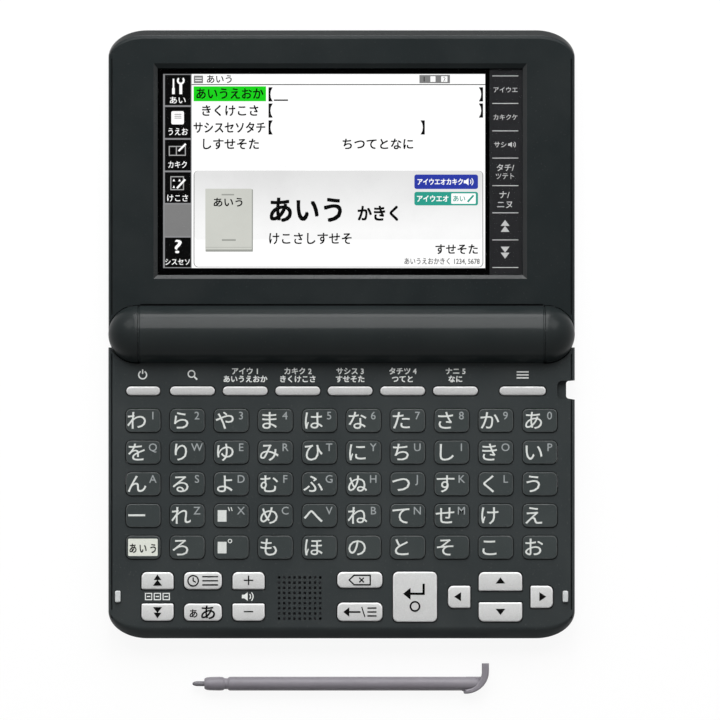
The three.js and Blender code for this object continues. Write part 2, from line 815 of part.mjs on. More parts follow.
// The mouths of the three sockets in the sides of the bottom shell
function socketMouths() {
  const side = caseWidth / 2;
  const inside = side - 2 * wall;
  const usbHalfY = usbWidth / 2 + usbMouthMargin;
  const usbHalfZ = usbHeight / 2 + usbMouthMargin / 2;
  const slotHalfY = cardSlotWidth / 2 + seat;
  const slotHalfZ = cardSlotHeight / 2 + seat;
  return [
    crosswise(-side - overrun, -inside, -jackAt, jackZ, jackHoleRadius, jackSides),
    block(-side - overrun, -inside, -usbAt - usbHalfY, usbHalfY - usbAt, usbZ - usbHalfZ, usbZ + usbHalfZ),
    block(
      inside,
      side + overrun,
      -cardAt - slotHalfY,
      slotHalfY - cardAt,
      cardZ - slotHalfZ,
      cardZ + slotHalfZ,
    ),
  ];
}

const siloHalf = penBore / 2;
const siloEndX = notchFaceX - siloLength;

function bottomShell() {
  const form = caseForm(-1, baseHornAt, baseSplit - seat / 2, baseBottom, outerEdge, outerEdge);
  const rearWay = block(
    -barrelHalf,
    barrelHalf,
    -barrelCutAt - wall - seat,
    -barrelCutAt + overrun,
    floorTop,
    baseSplit,
  );
  const tray = cut(form, caseCavity(-1, wall + seat, floorTop, baseSplit), rearWay);
  const blockHalf = notchWidth / 2 + notchFlare + notchBlockWall;
  const notchBlock = block(
    notchFaceX - notchBlockWall,
    caseWidth / 2 - wall / 2,
    -functionRowAt - blockHalf,
    -functionRowAt + blockHalf,
    floorTop - seat,
    baseSplit - seat / 2,
  );
  const penWay = block(
    siloEndX,
    notchFaceX + overrun,
    -functionRowAt - siloHalf,
    -functionRowAt + siloHalf,
    siloBottom,
    siloTop,
  );
  const footPockets = both((side) => footPocket(side * frontFootX, -frontFootAt));
  return cut(
    join(tray, notchBlock, bosses()),
    penWay,
    hookNotch(-overrun, baseTop),
    footPockets,
    socketMouths(),
    capClearance(),
  );
}

// Inverted channel that roofs the pen's way across the base; the bottom shell is its floor
function stylusSilo() {
  const x1 = notchFaceX - notchBlockWall - seat;
  const outer = block(
    siloEndX - siloEndWall,
    x1,
    -functionRowAt - siloHalf - siloWall,
    -functionRowAt + siloHalf + siloWall,
    floorTop + seat / 2,
    siloTop + siloRoof,
  );
  const bore = block(
    siloEndX,
    x1 + overrun,
    -functionRowAt - siloHalf,
    -functionRowAt + siloHalf,
    floorTop - overrun,
    siloTop,
  );
  return cut(outer, bore);
}

// The board's and the mat's plan: a plate with a bay for the speaker and a corner cut for the notch block
function boardPlan(inset) {
  const half = boardHalf - inset;
  const rear = -boardRearAt - inset;
  const front = inset - boardFrontAt;
  const bayLeft = speakerX - speakerRadius - speakerRim / 2 - inset;
  const bayRight = speakerX + speakerRadius + speakerRim / 2 + inset;
  const bayRear = speakerRadius + speakerRim / 2 + inset - speakerAt;
  const cornerX = notchFaceX - scoopDepth - notchBlockWall - wall - inset;
  const cornerY = -functionRowAt - scoopWidth / 2 - notchBlockWall - wall - inset;
  return [
    [-half, front],
    [bayLeft, front],
    [bayLeft, bayRear],
    [bayRight, bayRear],
    [bayRight, front],
    [half, front],
    [half, cornerY],
    [cornerX, cornerY],
    [cornerX, rear],
    [-half, rear],
  ];
}

function keySupportPlate() {
  return block(-plateHalf, plateHalf, -plateFarAt, -plateNearAt, plateLow, plateTop);
}

function speaker() {
  const x = speakerX;
  const y = -speakerAt;
  const top = plateBottom - seat;
  const rimLow = top - speakerDepth;
  const frame = upright(x, y, speakerRadius, rimLow, top, speakerSides);
  const cone = upright(x, y, speakerRadius - speakerRim, top - speakerRim, top + overrun, speakerSides);
  const magnet = upright(x, y, magnetRadius, rimLow - magnetDepth, rimLow + seat, speakerSides);
  return join(cut(frame, cone), magnet);
}

function earphoneSocket() {
  const outerX = -caseWidth / 2 + seat;
  const bodyX = -caseWidth / 2 + wall + 2 * seat;
  const halfHeight = jackZ - floorTop - seat;
  const body = block(
    bodyX,
    bodyX + jackBodyLength,
    -jackAt - jackBodyWidth / 2,
    jackBodyWidth / 2 - jackAt,
    jackZ - halfHeight,
    jackZ + halfHeight,
  );
  const collar = crosswise(outerX, bodyX + seat, -jackAt, jackZ, jackHoleRadius - seat, jackSides);
  const bore = crosswise(outerX - overrun, outerX + jackBoreDepth, -jackAt, jackZ, jackBoreRadius, jackSides);
  return cut(join(body, collar), bore);
}

function usbSocket() {
  const mouthX = -caseWidth / 2 + usbSetBack;
  const halfY = usbWidth / 2;
  const halfZ = usbHeight / 2;
  const body = block(mouthX, mouthX + usbLength, -usbAt - halfY, halfY - usbAt, usbZ - halfZ, usbZ + halfZ);
  const bore = block(
    mouthX - overrun,
    mouthX + usbLength - usbSetBack,
    -usbAt - halfY + usbWall,
    halfY - usbWall - usbAt,
    usbZ - halfZ + usbWall,
    usbZ + halfZ - usbWall,
  );
  return cut(body, bore);
}

function cardSocket() {
  const mouthX = caseWidth / 2 - wall - 2 * seat;
  const halfY = cardWidth / 2;
  const halfZ = cardHeight / 2;
  const body = block(
    mouthX - cardLength,
    mouthX,
    -cardAt - halfY,
    halfY - cardAt,
    cardZ - halfZ,
    cardZ + halfZ,
  );
  const slot = block(
    mouthX - cardSlotDepth,
    mouthX + overrun,
    -cardAt - cardSlotWidth / 2,
    cardSlotWidth / 2 - cardAt,
    cardZ - cardSlotHeight / 2,
    cardZ + cardSlotHeight / 2,
  );
  return cut(body, slot);
}

// Tube that holds the two cells between the case halves, open underneath for the cover, solid at its ends
function batteryBarrel() {
  const half = barrelHalf;
  const frontY = -barrelCutAt + seat;
  const underside = floorTop + seat;
  const tube = crosswise(-half, half, 0, hingeHeight, barrelRadius, barrelSides);
  const frontWall = block(-half, half, frontY, frontY + bayWall, underside, hingeHeight);
  const flangeHalf = bayHalf + coverLedge;
  const flange = block(
    -flangeHalf,
    flangeHalf,
    frontY - barrelFlangeDepth,
    frontY + bayWall,
    underside,
    underside + barrelFlangeThickness,
  );
  const ends = both((side) => {
    const [x0, x1] = inOrder(side * (bayHalf + coverLedge), side * half);
    return block(x0, x1, frontY, 0, baseBottom, hingeHeight);
  });
  const bay = [
    crosswise(-bayHalf, bayHalf, 0, hingeHeight, bayRadius, cellSides * 2),
    block(-bayHalf, bayHalf, -bayRadius, bayRadius, -overrun, hingeHeight),
  ];
  const coverHalf = bayHalf + coverLedge;
  const coverTop = hingeHeight - barrelRadius * Math.sin(coverRise);
  const coverSpace = [
    block(-coverHalf, coverHalf, frontY - overrun, 0, -overrun, underside),
    block(-coverHalf, coverHalf, -seat, barrelRadius + overrun, -overrun, coverTop),
  ];
  const bores = both((side) => {
    const [x0, x1] = inOrder(side * (half + overrun), side * (half - shaftReach - 2 * seat));
    return crosswise(x0, x1, 0, hingeHeight, shaftRadius + runningGap, penSides);
  });
  const footPockets = both((side) => footPocket(side * rearFootX, 0));
  return cut(join(tube, frontWall, flange, ends), bay, coverSpace, bores, footPockets);
}

const rearFootX = (bayHalf + coverLedge + barrelHalf) / 2;

// Flat in front where it carries on the base's underside, and round at the back where it completes the barrel
function batteryCover() {
  const half = bayHalf + coverLedge - coverGap;
  const frontY = -barrelCutAt + caseToBarrel;
  const dip = hingeHeight - baseBottom;
  const innerRadius = barrelRadius - coverWall;
  const outerStart = -Math.PI / 2 - Math.acos(dip / barrelRadius);
  const innerStart = -Math.PI / 2 - Math.acos((dip - coverWall) / innerRadius);
  const endDrop = barrelRadius * Math.sin(coverRise) + coverGap;
  const outerEnd = -Math.asin(endDrop / barrelRadius);
  const innerEnd = -Math.asin(endDrop / innerRadius);
  const steps = barrelSides / 4;
  const outline = [
    [frontY, baseBottom],
    ...arc(0, hingeHeight, barrelRadius, barrelRadius, outerStart, outerEnd, steps),
    ...arc(0, hingeHeight, innerRadius, innerRadius, innerEnd, innerStart, steps),
    [frontY, baseBottom + coverWall],
  ];
  return prism(outline, -half, half, alongX);
}

// A round cell lying along X, its nub towards -X
function cell(startX) {
  const shoulder = startX + cellNubLength;
  const end = startX + cellLength;
  const profile = [
    [startX, 0],
    [startX, cellNubRadius],
    [shoulder, cellNubRadius],
    [shoulder, cellRadius - cellEdge],
    [shoulder + cellEdge, cellRadius],
    [end - cellEdge, cellRadius],
    [end, cellRadius - cellEdge],
    [end, 0],
  ];
  return turned(profile, 0, hingeHeight, cellSides);
}

const firstCellX = -bayHalf + contactThickness + 2 * seat;
const secondCellX = firstCellX + cellLength + seat;
const cellsEndX = secondCellX + cellLength;

function contactPlate() {
  const half = contactWidth / 2;
  const x = -bayHalf + seat;
  return block(x, x + contactThickness, -half, half, hingeHeight - half, hingeHeight + half);
}

// Conical coil spring on a plate, at the cells' negative end
function contactSpring() {
  const plateX = bayHalf - seat - contactThickness;
  const half = contactWidth / 2;
  const plate = block(plateX, plateX + contactThickness, -half, half, hingeHeight - half, hingeHeight + half);
  const length = plateX - cellsEndX - seat - springWire;
  const steps = springTurns * springStepsPerTurn;
  const centre = Array.from({ length: steps + 1 }, (_, i) => {
    const share = i / steps;
    const radius = springTopRadius + (springBaseRadius - springTopRadius) * share;
    const angle = 2 * Math.PI * springTurns * share;
    const x = cellsEndX + seat + springWire / 2 + (length + springWire / 2) * share;
    return { x, radius, angle };
  });
  const rings = centre.map(({ x, radius, angle }) =>
    arc(0, 0, springWire / 2, springWire / 2, 0, 2 * Math.PI, springSides)
      .slice(0, springSides)
      .map(([dr, dx]) => [
        x + dx,
        (radius + dr) * Math.cos(angle),
        hingeHeight + (radius + dr) * Math.sin(angle),
      ]),
  );
  return join(plate, wireThrough(rings));
}

// A closed tube through rings of points in space
function wireThrough(rings) {
  const count = rings[0].length;
  const last = (rings.length - 1) * count;
  const faces = [];
  for (let start = 0; start < last; start += count)
    for (let i = 0; i < count; i++) {
      const a = start + i;
      const b = start + ((i + 1) % count);
      faces.push(a, a + count, b + count, a, b + count, b);
    }
  for (let i = 2; i < count; i++) faces.push(0, i - 1, i, last, last + i, last + i - 1);
  const geometry = new THREE.BufferGeometry();
  geometry.setAttribute("position", new THREE.Float32BufferAttribute(rings.flat(2), 3));
  geometry.setIndex(faces);
  return solidOf(geometry);
}

// A key's cap with the plain rectangular flange that keeps it under the fascia
function commandKey({ x, y, outline }) {
  const [halfWidth, halfDepth] = outlineHalves(outline);
  const reachX = halfWidth + flangeMargin;
  const reachY = halfDepth + flangeMargin;
  const flange = block(x - reachX, x + reachX, y - reachY, y + reachY, flangeBottom, flangeTop);
  const cap = prism(moved(outline, x, y), flangeBottom + seat, baseTop + commandRise);
  return join(flange, cap);
}

// Silicone mat over the board, with the fifty letter caps that are bonded to it
function keypad() {
  const mat = prism(boardPlan(seat), matBottom, matTop);
  const top = baseTop + letterRise;
  const caps = letterRowYs.flatMap((y) =>
    letterXs.map((x) => prism(moved(letterOutline, x, y), matTop - seat, top)),
  );
  return join(mat, caps);
}

function foot(x, y) {
  return upright(x, y, footRadius, 0, baseBottom + footRecess, footSides);
}

function footPocket(x, y) {
  return upright(x, y, footRadius + seat, -overrun, baseBottom + footRecess + seat, footSides);
}

function bumper(side) {
  const outline = moved(bumperOutline, side * bumperX, -middleCommandAt);
  return prism(outline, baseTop - bumperRecess, baseTop + bumperHeight);
}

function keys() {
  const group = new THREE.Group();
  commandKeys.forEach((key) => {
    group.add(piece(key.name, commandKey(key), materials.silverKey));
  });
  return group;
}

function base() {
  const group = new THREE.Group();
  group.add(
    piece("keyboard_fascia", keyboardFascia(), materials.caseBlack),
    piece("bottom_shell", bottomShell(), materials.caseBlack),
    piece("battery_barrel", batteryBarrel(), materials.caseBlack),
    piece("battery_cover", batteryCover(), materials.caseBlack),
    piece("battery_cell_1", cell(firstCellX), materials.cell),
    piece("battery_cell_2", cell(secondCellX), materials.cell),
    piece("contact_plate", contactPlate(), materials.steel),
    piece("contact_spring", contactSpring(), materials.steel),
    piece("main_board", prism(boardPlan(0), boardBottom, boardTop), materials.board),
    piece("letter_keypad", keypad(), materials.letterKey),
    piece("key_support_plate", keySupportPlate(), materials.steel),
    piece("speaker", speaker(), materials.speaker),
    piece("stylus_silo", stylusSilo(), materials.caseBlack),
    piece("earphone_socket", earphoneSocket(), materials.caseBlack),
    piece("usb_socket", usbSocket(), materials.steel),
    piece("card_socket", cardSocket(), materials.aluminium),
    piece("foot_front_left", foot(-frontFootX, -frontFootAt), materials.rubber),
    piece("foot_front_right", foot(frontFootX, -frontFootAt), materials.rubber),
    piece("foot_rear_left", foot(-rearFootX, 0), materials.rubber),
    piece("foot_rear_right", foot(rearFootX, 0), materials.rubber),
    piece("lid_bumper_left", bumper(-1), materials.bumper),
    piece("lid_bumper_right", bumper(1), materials.bumper),
    keys(),
  );
  return group;
}

// Pen, built about its own axis with its tip at x = 0, then laid on the table
function stylus() {
  const radius = penDiameter / 2;
  const noseEnd = nibLength + noseLength;
  const barrelStart = noseEnd + grooveWidth;
  const hookX = penLength - hookCurveLength;
  const barrelProfile = [
    [nibLength, 0],
    [nibLength, noseFrontRadius],
    [nibLength + grooveWidth / 2, (noseFrontRadius + radius) / 2],
    [noseEnd - grooveWidth, radius],
    [noseEnd, (radius + grooveRadius) / 2],
    [noseEnd + grooveWidth / 3, grooveRadius],
    [barrelStart - grooveWidth / 3, grooveRadius],
    [barrelStart, radius],
    [hookX - hookRootDepth, radius],
    [hookX - hookRootDepth, radius - siloWall],
    [hookX + hookRootDepth, radius - siloWall],
    [hookX + hookRootDepth, 0],
  ];
  const nibEnd = nibLength + nibRoot;
  const nibSocket = crosswise(nibLength - overrun, nibEnd + seat, 0, 0, nibRadius + seat, penSides / 2);
  const barrel = cut(turned(barrelProfile, 0, 0, penSides), nibSocket);
  const nibProfile = [
    [0, 0],
    [0, nibTipRadius],
    [nibTipRadius, nibRadius],
    [nibEnd, nibRadius],
    [nibEnd, 0],
  ];
  const nib = turned(nibProfile, 0, 0, penSides / 2);
  const group = new THREE.Group();
  group.add(
    piece("stylus_barrel", barrel, materials.penGrey),
    piece("stylus_nib", nib, materials.penNib),
    piece("stylus_hook", stylusHook(hookX), materials.penGrey),
  );
  group.position.set(penTipX, -penRowAt, radius);
  return group;
}

// The pen's hooked end: a straight tab that sweeps in a quarter ellipse round under the barrel
function stylusHook(hookX) {
  const radius = penDiameter / 2;
  const half = hookThickness / 2;
  const curveDepth = hookCurveRise + hookDrop;
  const outline = [
    ...arc(hookX, hookCurveRise, hookCurveLength, curveDepth, -Math.PI / 2, 0, hookCurveSteps),
    [penLength, hookRise],
    [penLength - hookTabWidth, hookRise],
    [penLength - hookTabWidth, radius + seat],
    [penLength - hookTabWidth - seat, radius],
    [hookX - hookRootDepth + seat, radius],
    [hookX - hookRootDepth + seat, -radius],
    [hookX, -radius - hookToe / 2],
  ];
  const body = prism(outline, -half, half);
  const socket = crosswise(
    hookX - hookRootDepth - overrun,
    hookX + hookRootDepth + seat,
    0,
    0,
    radius - siloWall + seat,
    penSides,
  );
  return cut(body, socket);
}

const dictionary = new THREE.Group();
dictionary.add(base(), lid(), stylus());
dictionary.position.y = originY;

export default dictionary;
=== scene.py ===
import math

import bmesh
import bpy
from mathutils import Matrix, Vector


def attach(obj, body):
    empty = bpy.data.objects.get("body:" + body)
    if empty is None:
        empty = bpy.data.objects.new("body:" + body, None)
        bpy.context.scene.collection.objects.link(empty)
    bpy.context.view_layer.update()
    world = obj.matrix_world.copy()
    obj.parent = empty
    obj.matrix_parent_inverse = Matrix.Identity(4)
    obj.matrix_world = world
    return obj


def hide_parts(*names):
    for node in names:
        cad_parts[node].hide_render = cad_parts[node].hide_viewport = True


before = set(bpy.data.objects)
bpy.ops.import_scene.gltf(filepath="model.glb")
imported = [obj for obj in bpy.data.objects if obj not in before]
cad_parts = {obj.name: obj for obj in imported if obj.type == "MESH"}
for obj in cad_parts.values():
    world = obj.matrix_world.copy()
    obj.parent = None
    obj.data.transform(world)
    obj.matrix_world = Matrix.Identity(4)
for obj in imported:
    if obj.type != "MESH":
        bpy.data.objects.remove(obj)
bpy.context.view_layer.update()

# Pocket electronic dictionary, opened flat, with its touch pen laid in front of it.
# Shapes are made in millimetres about the hinge axis, as in the part's source, then put into the frame.
# y runs from the keyboard to the screen, z up from the table.

MM = 0.001
AXIS_Y = 8.85
AXIS_Z = 9.4
INTO_FRAME = Matrix.Translation((0, AXIS_Y * MM, 0)) @ Matrix.Scale(MM, 4)

# Case
HALF_WIDTH = 74.0
REACH = 96.5
CORNER = 10.0
CORNER_ACROSS = 12.3
CORNER_ALONG = 8.6
CORNER_STEPS = 20
BASE_HORN = 4.2
BASE_TOP = 9.8
BASE_SPLIT = 6.5
BASE_BOTTOM = 0.8
LID_TOP = 8.0
LID_SPLIT = 5.1
LID_BACK = 2.2
SEAM = 0.05
GROOVE_X = HALF_WIDTH - 1.1
GROOVE_HALF = 0.21
BASE_SCREWS = [(-65.8, -67.8), (65.8, -67.8), (-56, -15), (48, -26), (-30, -91), (30, -91)]
FRONT_FOOT = (58, -84)
REAR_FOOT = (59.375, 0)

# Rounded edges: inset and drop of a quarter ellipse, or points of inset and drop from the side to the face
SIDE_EDGE = (0.8, 2.2)
OUTER_EDGE = (2.0, 2.2)
BASE_FRONT_EDGE = ((0, 3.15), (0.1, 3), (0.75, 2.2), (1.45, 1.4), (2.15, 0.7), (2.8, 0.26), (3.4, 0.06), (3.9, 0))
LID_FAR_EDGE = ((0, 2.8), (0.05, 2.7), (1.62, 0.56), (1.7, 0.47), (2.5, 0.09), (2.8, 0))
EDGE_RINGS = 14
POINTED_EDGE_RINGS = 9

# Barrel and caps
BARREL_RADIUS = 9.0
BARREL_HALF = 64.1
CAP_FACE = 65.0
CAP_FLAT = 64.55
TROUGH_HALF = 63.9
BARREL_CUT = 9.12
BEZEL_CUT = 8.98
BEZEL_LEDGE = 9.6
BAY_HALF = 53.05
COVER_HALF = 54.25
COVER_TURN = math.pi / 8

# Keys
COLUMN_PITCH = 13.98
ROW_PITCH = 10.05
HALF_SPAN = 4.5 * COLUMN_PITCH
LETTER_ROWS = [-27.4 - ROW_PITCH * row for row in range(5)]
LETTER_COLUMNS = [COLUMN_PITCH * column - HALF_SPAN for column in range(10)]
LETTER_SIZE = (11.0, 7.4)
LETTER_CORNER = 1.75
LETTER_TOP = 10.3
KEY_TOP = 10.5
KEY_PLAY = 0.22
SILVER_TRIM = 0.15
DECK_CUT = (7.7, 11)
FUNCTION_Y = -18.0
UPPER_Y = -78.2
MIDDLE_Y = -83.2
LOWER_Y = -88.2
BUMPER_X = 71
SPEAKER = (-13.3, -83.7)

# Window and display, as x0, x1, y0, y1
WINDOW = (-59.62, 58.82, 17.62, 86.0)
WINDOW_FOOT = (-58.4, 57.5, 18.78, 84.4)
GLASS_TOP = 6.8
DISPLAY = (-56.65, 45.58, 21.0, 82.6)


def mesh_of(shape, name):
    """Turns a shape into a mesh"""
    mesh = bpy.data.meshes.new(name)
    shape.to_mesh(mesh)
    shape.free()
    return mesh


def in_scene(name, data):
    """Puts a new object into the scene"""
    piece = bpy.data.objects.new(name, data)
    bpy.context.scene.collection.objects.link(piece)
    return piece


# Camera: straight down through a long lens, over the middle of the photograph

lens = bpy.data.cameras.new("camera")
lens.lens = 800
lens.sensor_width = 36
lens.clip_start = 1
lens.clip_end = 30
camera = in_scene("camera", lens)
camera.location = (0.00584, 0.00067, 5.085)
bpy.context.scene.camera = camera
bpy.context.scene.view_settings.view_transform = "Standard"


# Nodes

def node_of(tree, kind, **settings):
    """Adds a node and sets its properties"""
    made = tree.nodes.new(kind)
    for name, value in settings.items():
        setattr(made, name, value)
    return made


def feed(tree, target, source):
    """Links an output to an input, or sets the input where the source is a plain value"""
    if isinstance(source, bpy.types.NodeSocket):
        tree.links.new(source, target)
    else:
        target.default_value = source


def math_of(tree, operation, first, second=0.0, clamp=False):
    made = node_of(tree, "ShaderNodeMath", operation=operation, use_clamp=clamp)
    feed(tree, made.inputs[0], first)
    feed(tree, made.inputs[1], second)
    return made.outputs[0]


def blend_of(tree, share, first, second, kind="MIX"):
    made = node_of(tree, "ShaderNodeMix", data_type="RGBA", blend_type=kind)
    feed(tree, made.inputs["Factor"], share)
    feed(tree, made.inputs["A"], first)
    feed(tree, made.inputs["B"], second)
    return made.outputs["Result"]


def range_of(tree, value, low, high, to_low, to_high):
    made = node_of(tree, "ShaderNodeMapRange")
    for socket, number in zip(made.inputs[1:5], (low, high, to_low, to_high)):
        socket.default_value = number
    feed(tree, made.inputs[0], value)
    return made.outputs[0]


def noise_of(tree, place, scale, detail=2.0, roughness=0.5):
    made = node_of(tree, "ShaderNodeTexNoise")
    feed(tree, made.inputs["Vector"], place)
    feed(tree, made.inputs["Scale"], scale)
    made.inputs["Detail"].default_value = detail
    made.inputs["Roughness"].default_value = roughness
    return made.outputs["Fac"]


def place_of(tree, stretch=(1, 1, 1)):
    """Object coordinates in metres, stretched along the axes"""
    source = node_of(tree, "ShaderNodeTexCoord").outputs["Object"]
    mapping = node_of(tree, "ShaderNodeMapping")
    mapping.inputs["Scale"].default_value = stretch
    tree.links.new(source, mapping.inputs["Vector"])
    return mapping.outputs["Vector"]


def axes_of(tree, vector):
    """The x, y and z of a vector"""
    made = node_of(tree, "ShaderNodeSeparateXYZ")
    feed(tree, made.inputs[0], vector)
    return made.outputs


def colour_of(tree, red, green, blue):
    made = node_of(tree, "ShaderNodeCombineColor")
    for target, source in zip(made.inputs, (red, green, blue)):
        feed(tree, target, source)
    return made.outputs[0]


def new_group(name, inputs, outputs):
    """A node group with named inputs (name, kind, value) and outputs (name, kind)"""
    group = bpy.data.node_groups.new(name, "ShaderNodeTree")
    for label, kind, value in inputs:
        socket = group.interface.new_socket(name=label, in_out="INPUT", socket_type=kind)
        socket.default_value = value
    for label, kind in outputs:
        group.interface.new_socket(name=label, in_out="OUTPUT", socket_type=kind)
    start = node_of(group, "NodeGroupInput")
    end = node_of(group, "NodeGroupOutput")
    return group, start.outputs, end.inputs


NUMBER = "NodeSocketFloat"


def make_moulded_skin():
    """Fine spark-eroded grain of a moulding, with slow mottling and rubbed patches"""
    group, given, out = new_group(
        "moulded skin",
        [("Grain Size", NUMBER, 0.25), ("Mottle Size", NUMBER, 18.0)],
        [("Height", NUMBER), ("Mottle", NUMBER), ("Rub", NUMBER)],
    )
    place = place_of(group)
    grain_scale = math_of(group, "DIVIDE", 1000.0, given["Grain Size"])
    mottle_scale = math_of(group, "DIVIDE", 1000.0, given["Mottle Size"])
    grain = noise_of(group, place, grain_scale, 3.0, 0.6)
    mottle = noise_of(group, place, mottle_scale, 4.0, 0.6)
    rub = noise_of(group, place, math_of(group, "MULTIPLY", mottle_scale, 0.45), 6.0, 0.65)
    feed(group, out["Height"], grain)
    feed(group, out["Mottle"], range_of(group, mottle, 0.3, 0.7, 0.0, 1.0))
    feed(group, out["Rub"], range_of(group, rub, 0.5, 0.72, 0.0, 1.0))
    return group


def make_ridge_wear_and_highlight():
    """Rubbed line along rounded edges that also paints a highlight on them, broken up so that it is never even"""
    group, given, out = new_group("ridge wear", [("Amount", NUMBER, 0.5)], [("Mask", NUMBER)])
    ridge = node_of(group, "ShaderNodeAttribute", attribute_name="ridge").outputs["Fac"]
    broken = noise_of(group, place_of(group), 350.0, 4.0, 0.7)
    patches = range_of(group, broken, 0.35, 0.65, 0.25, 1.0)
    worn_and_highlit = math_of(group, "MULTIPLY", ridge, patches)
    feed(group, out["Mask"], math_of(group, "MULTIPLY", worn_and_highlit, given["Amount"], True))
    return group


def make_settled_dust():
    """Sparse specks of dust on faces that look up"""
    group, given, out = new_group("settled dust", [("Amount", NUMBER, 0.1)], [("Mask", NUMBER)])
    normal = node_of(group, "ShaderNodeNewGeometry").outputs["Normal"]
    upward = range_of(group, axes_of(group, normal)[2], 0.6, 0.95, 0.0, 1.0)
    specks = range_of(group, noise_of(group, place_of(group), 1600.0, 2.0, 0.5), 0.66, 0.74, 0.0, 1.0)
    film = range_of(group, noise_of(group, place_of(group), 60.0, 3.0, 0.5), 0.4, 0.8, 0.0, 0.35)
    settled = math_of(group, "MULTIPLY", math_of(group, "MAXIMUM", specks, film), upward)
    feed(group, out["Mask"], math_of(group, "MULTIPLY", settled, given["Amount"]))
    return group


def make_brushed_lines():
    """Fine drawn or brushed lines along one axis of a metal or moulding"""
    outputs = [("Height", NUMBER), ("Tone", NUMBER)]
    group, given, out = new_group("brushed lines", [("Size", NUMBER, 0.12)], outputs)
    scale = math_of(group, "DIVIDE", 1000.0, given["Size"])
    lines = noise_of(group, place_of(group, (0.02, 1, 1)), scale, 3.0, 0.7)
    feed(group, out["Height"], lines)
    feed(group, out["Tone"], range_of(group, lines, 0.3, 0.7, 0.0, 1.0))
    return group


MOULDED_SKIN = make_moulded_skin()
RIDGE_WEAR_AND_HIGHLIGHT = make_ridge_wear_and_highlight()
SETTLED_DUST = make_settled_dust()
BRUSHED_LINES = make_brushed_lines()


def effect(tree, group, **values):
    """Places an effect's group in a material with its own values"""
    made = node_of(tree, "ShaderNodeGroup", node_tree=group)
    for name, value in values.items():
        made.inputs[name.replace("_", " ")].default_value = value
    return made.outputs


def new_finish(name):
    material = bpy.data.materials.new(name)
    material.use_nodes = True
    return material, material.node_tree, material.node_tree.nodes["Principled BSDF"].inputs


def bump(tree, shader, height, depth, distance):
    made = node_of(tree, "ShaderNodeBump")
    made.inputs["Strength"].default_value = depth
    made.inputs["Distance"].default_value = distance
    feed(tree, made.inputs["Height"], height)
    feed(tree, shader["Normal"], made.outputs["Normal"])


def shade(colour, by, lift=0.0):
    return (*(channel * by + lift for channel in colour[:3]), 1)


def moulding(
    name, colour, roughness, gloss=0.25, grain=0.25, depth=0.15, wear_and_highlight=0.4, dust=0.05, lines=0.0, polish=0.0
):
    """Satin moulded plastic: grain, mottled tone, rubbed edges with a painted highlight, and a little dust"""
    material, tree, shader = new_finish(name)
    skin = effect(tree, MOULDED_SKIN, Grain_Size=grain)
    ridge = effect(tree, RIDGE_WEAR_AND_HIGHLIGHT, Amount=wear_and_highlight)["Mask"]
    specks = effect(tree, SETTLED_DUST, Amount=dust)["Mask"]
    tone = blend_of(tree, skin["Mottle"], shade(colour, 0.93), shade(colour, 1.07))
    rubbed = blend_of(tree, math_of(tree, "MULTIPLY", skin["Rub"], 0.25), tone, shade(colour, 1.25))
    # Rounded ridges are painted lighter: partly wear, partly a painted highlight
    worn_and_highlit = blend_of(tree, ridge, rubbed, shade(colour, 0.6, 0.12))
    feed(tree, shader["Base Color"], blend_of(tree, specks, worn_and_highlit, (0.45, 0.44, 0.42, 1)))
    fine = math_of(tree, "MULTIPLY", skin["Height"], 0.1)
    smoother = math_of(tree, "MULTIPLY", skin["Rub"], -0.06)
    rough = math_of(tree, "ADD", math_of(tree, "ADD", fine, smoother), roughness - 0.05)
    shader["Specular IOR Level"].default_value = gloss
    height = skin["Height"]
    if lines:
        drawn = effect(tree, BRUSHED_LINES, Size=0.5)
        height = math_of(tree, "ADD", height, math_of(tree, "MULTIPLY", drawn["Height"], lines))
        rough = math_of(tree, "ADD", rough, math_of(tree, "MULTIPLY", drawn["Tone"], 0.03))
    feed(tree, shader["Roughness"], rough)
    bump(tree, shader, height, depth, 0.00006)
    if polish:
        shader["Coat Weight"].default_value = polish
        smears = math_of(tree, "MULTIPLY", skin["Rub"], 0.05)
        feed(tree, shader["Coat Roughness"], math_of(tree, "ADD", smears, 0.14))
    return material


def printed_ink(name, colour, roughness=0.5, gloss=0.2):
    """Screen-printed ink, slightly uneven in cover"""
    material, tree, shader = new_finish(name)
    cover = range_of(tree, noise_of(tree, place_of(tree), 2500.0, 3.0, 0.6), 0.3, 0.7, 0.0, 1.0)
    feed(tree, shader["Base Color"], blend_of(tree, cover, shade(colour, 0.9), shade(colour, 1.03)))
    feed(tree, shader["Roughness"], range_of(tree, cover, 0.0, 1.0, roughness + 0.06, roughness - 0.06))
    shader["Specular IOR Level"].default_value = gloss
    bump(tree, shader, cover, 0.1, 0.00003)
    return material


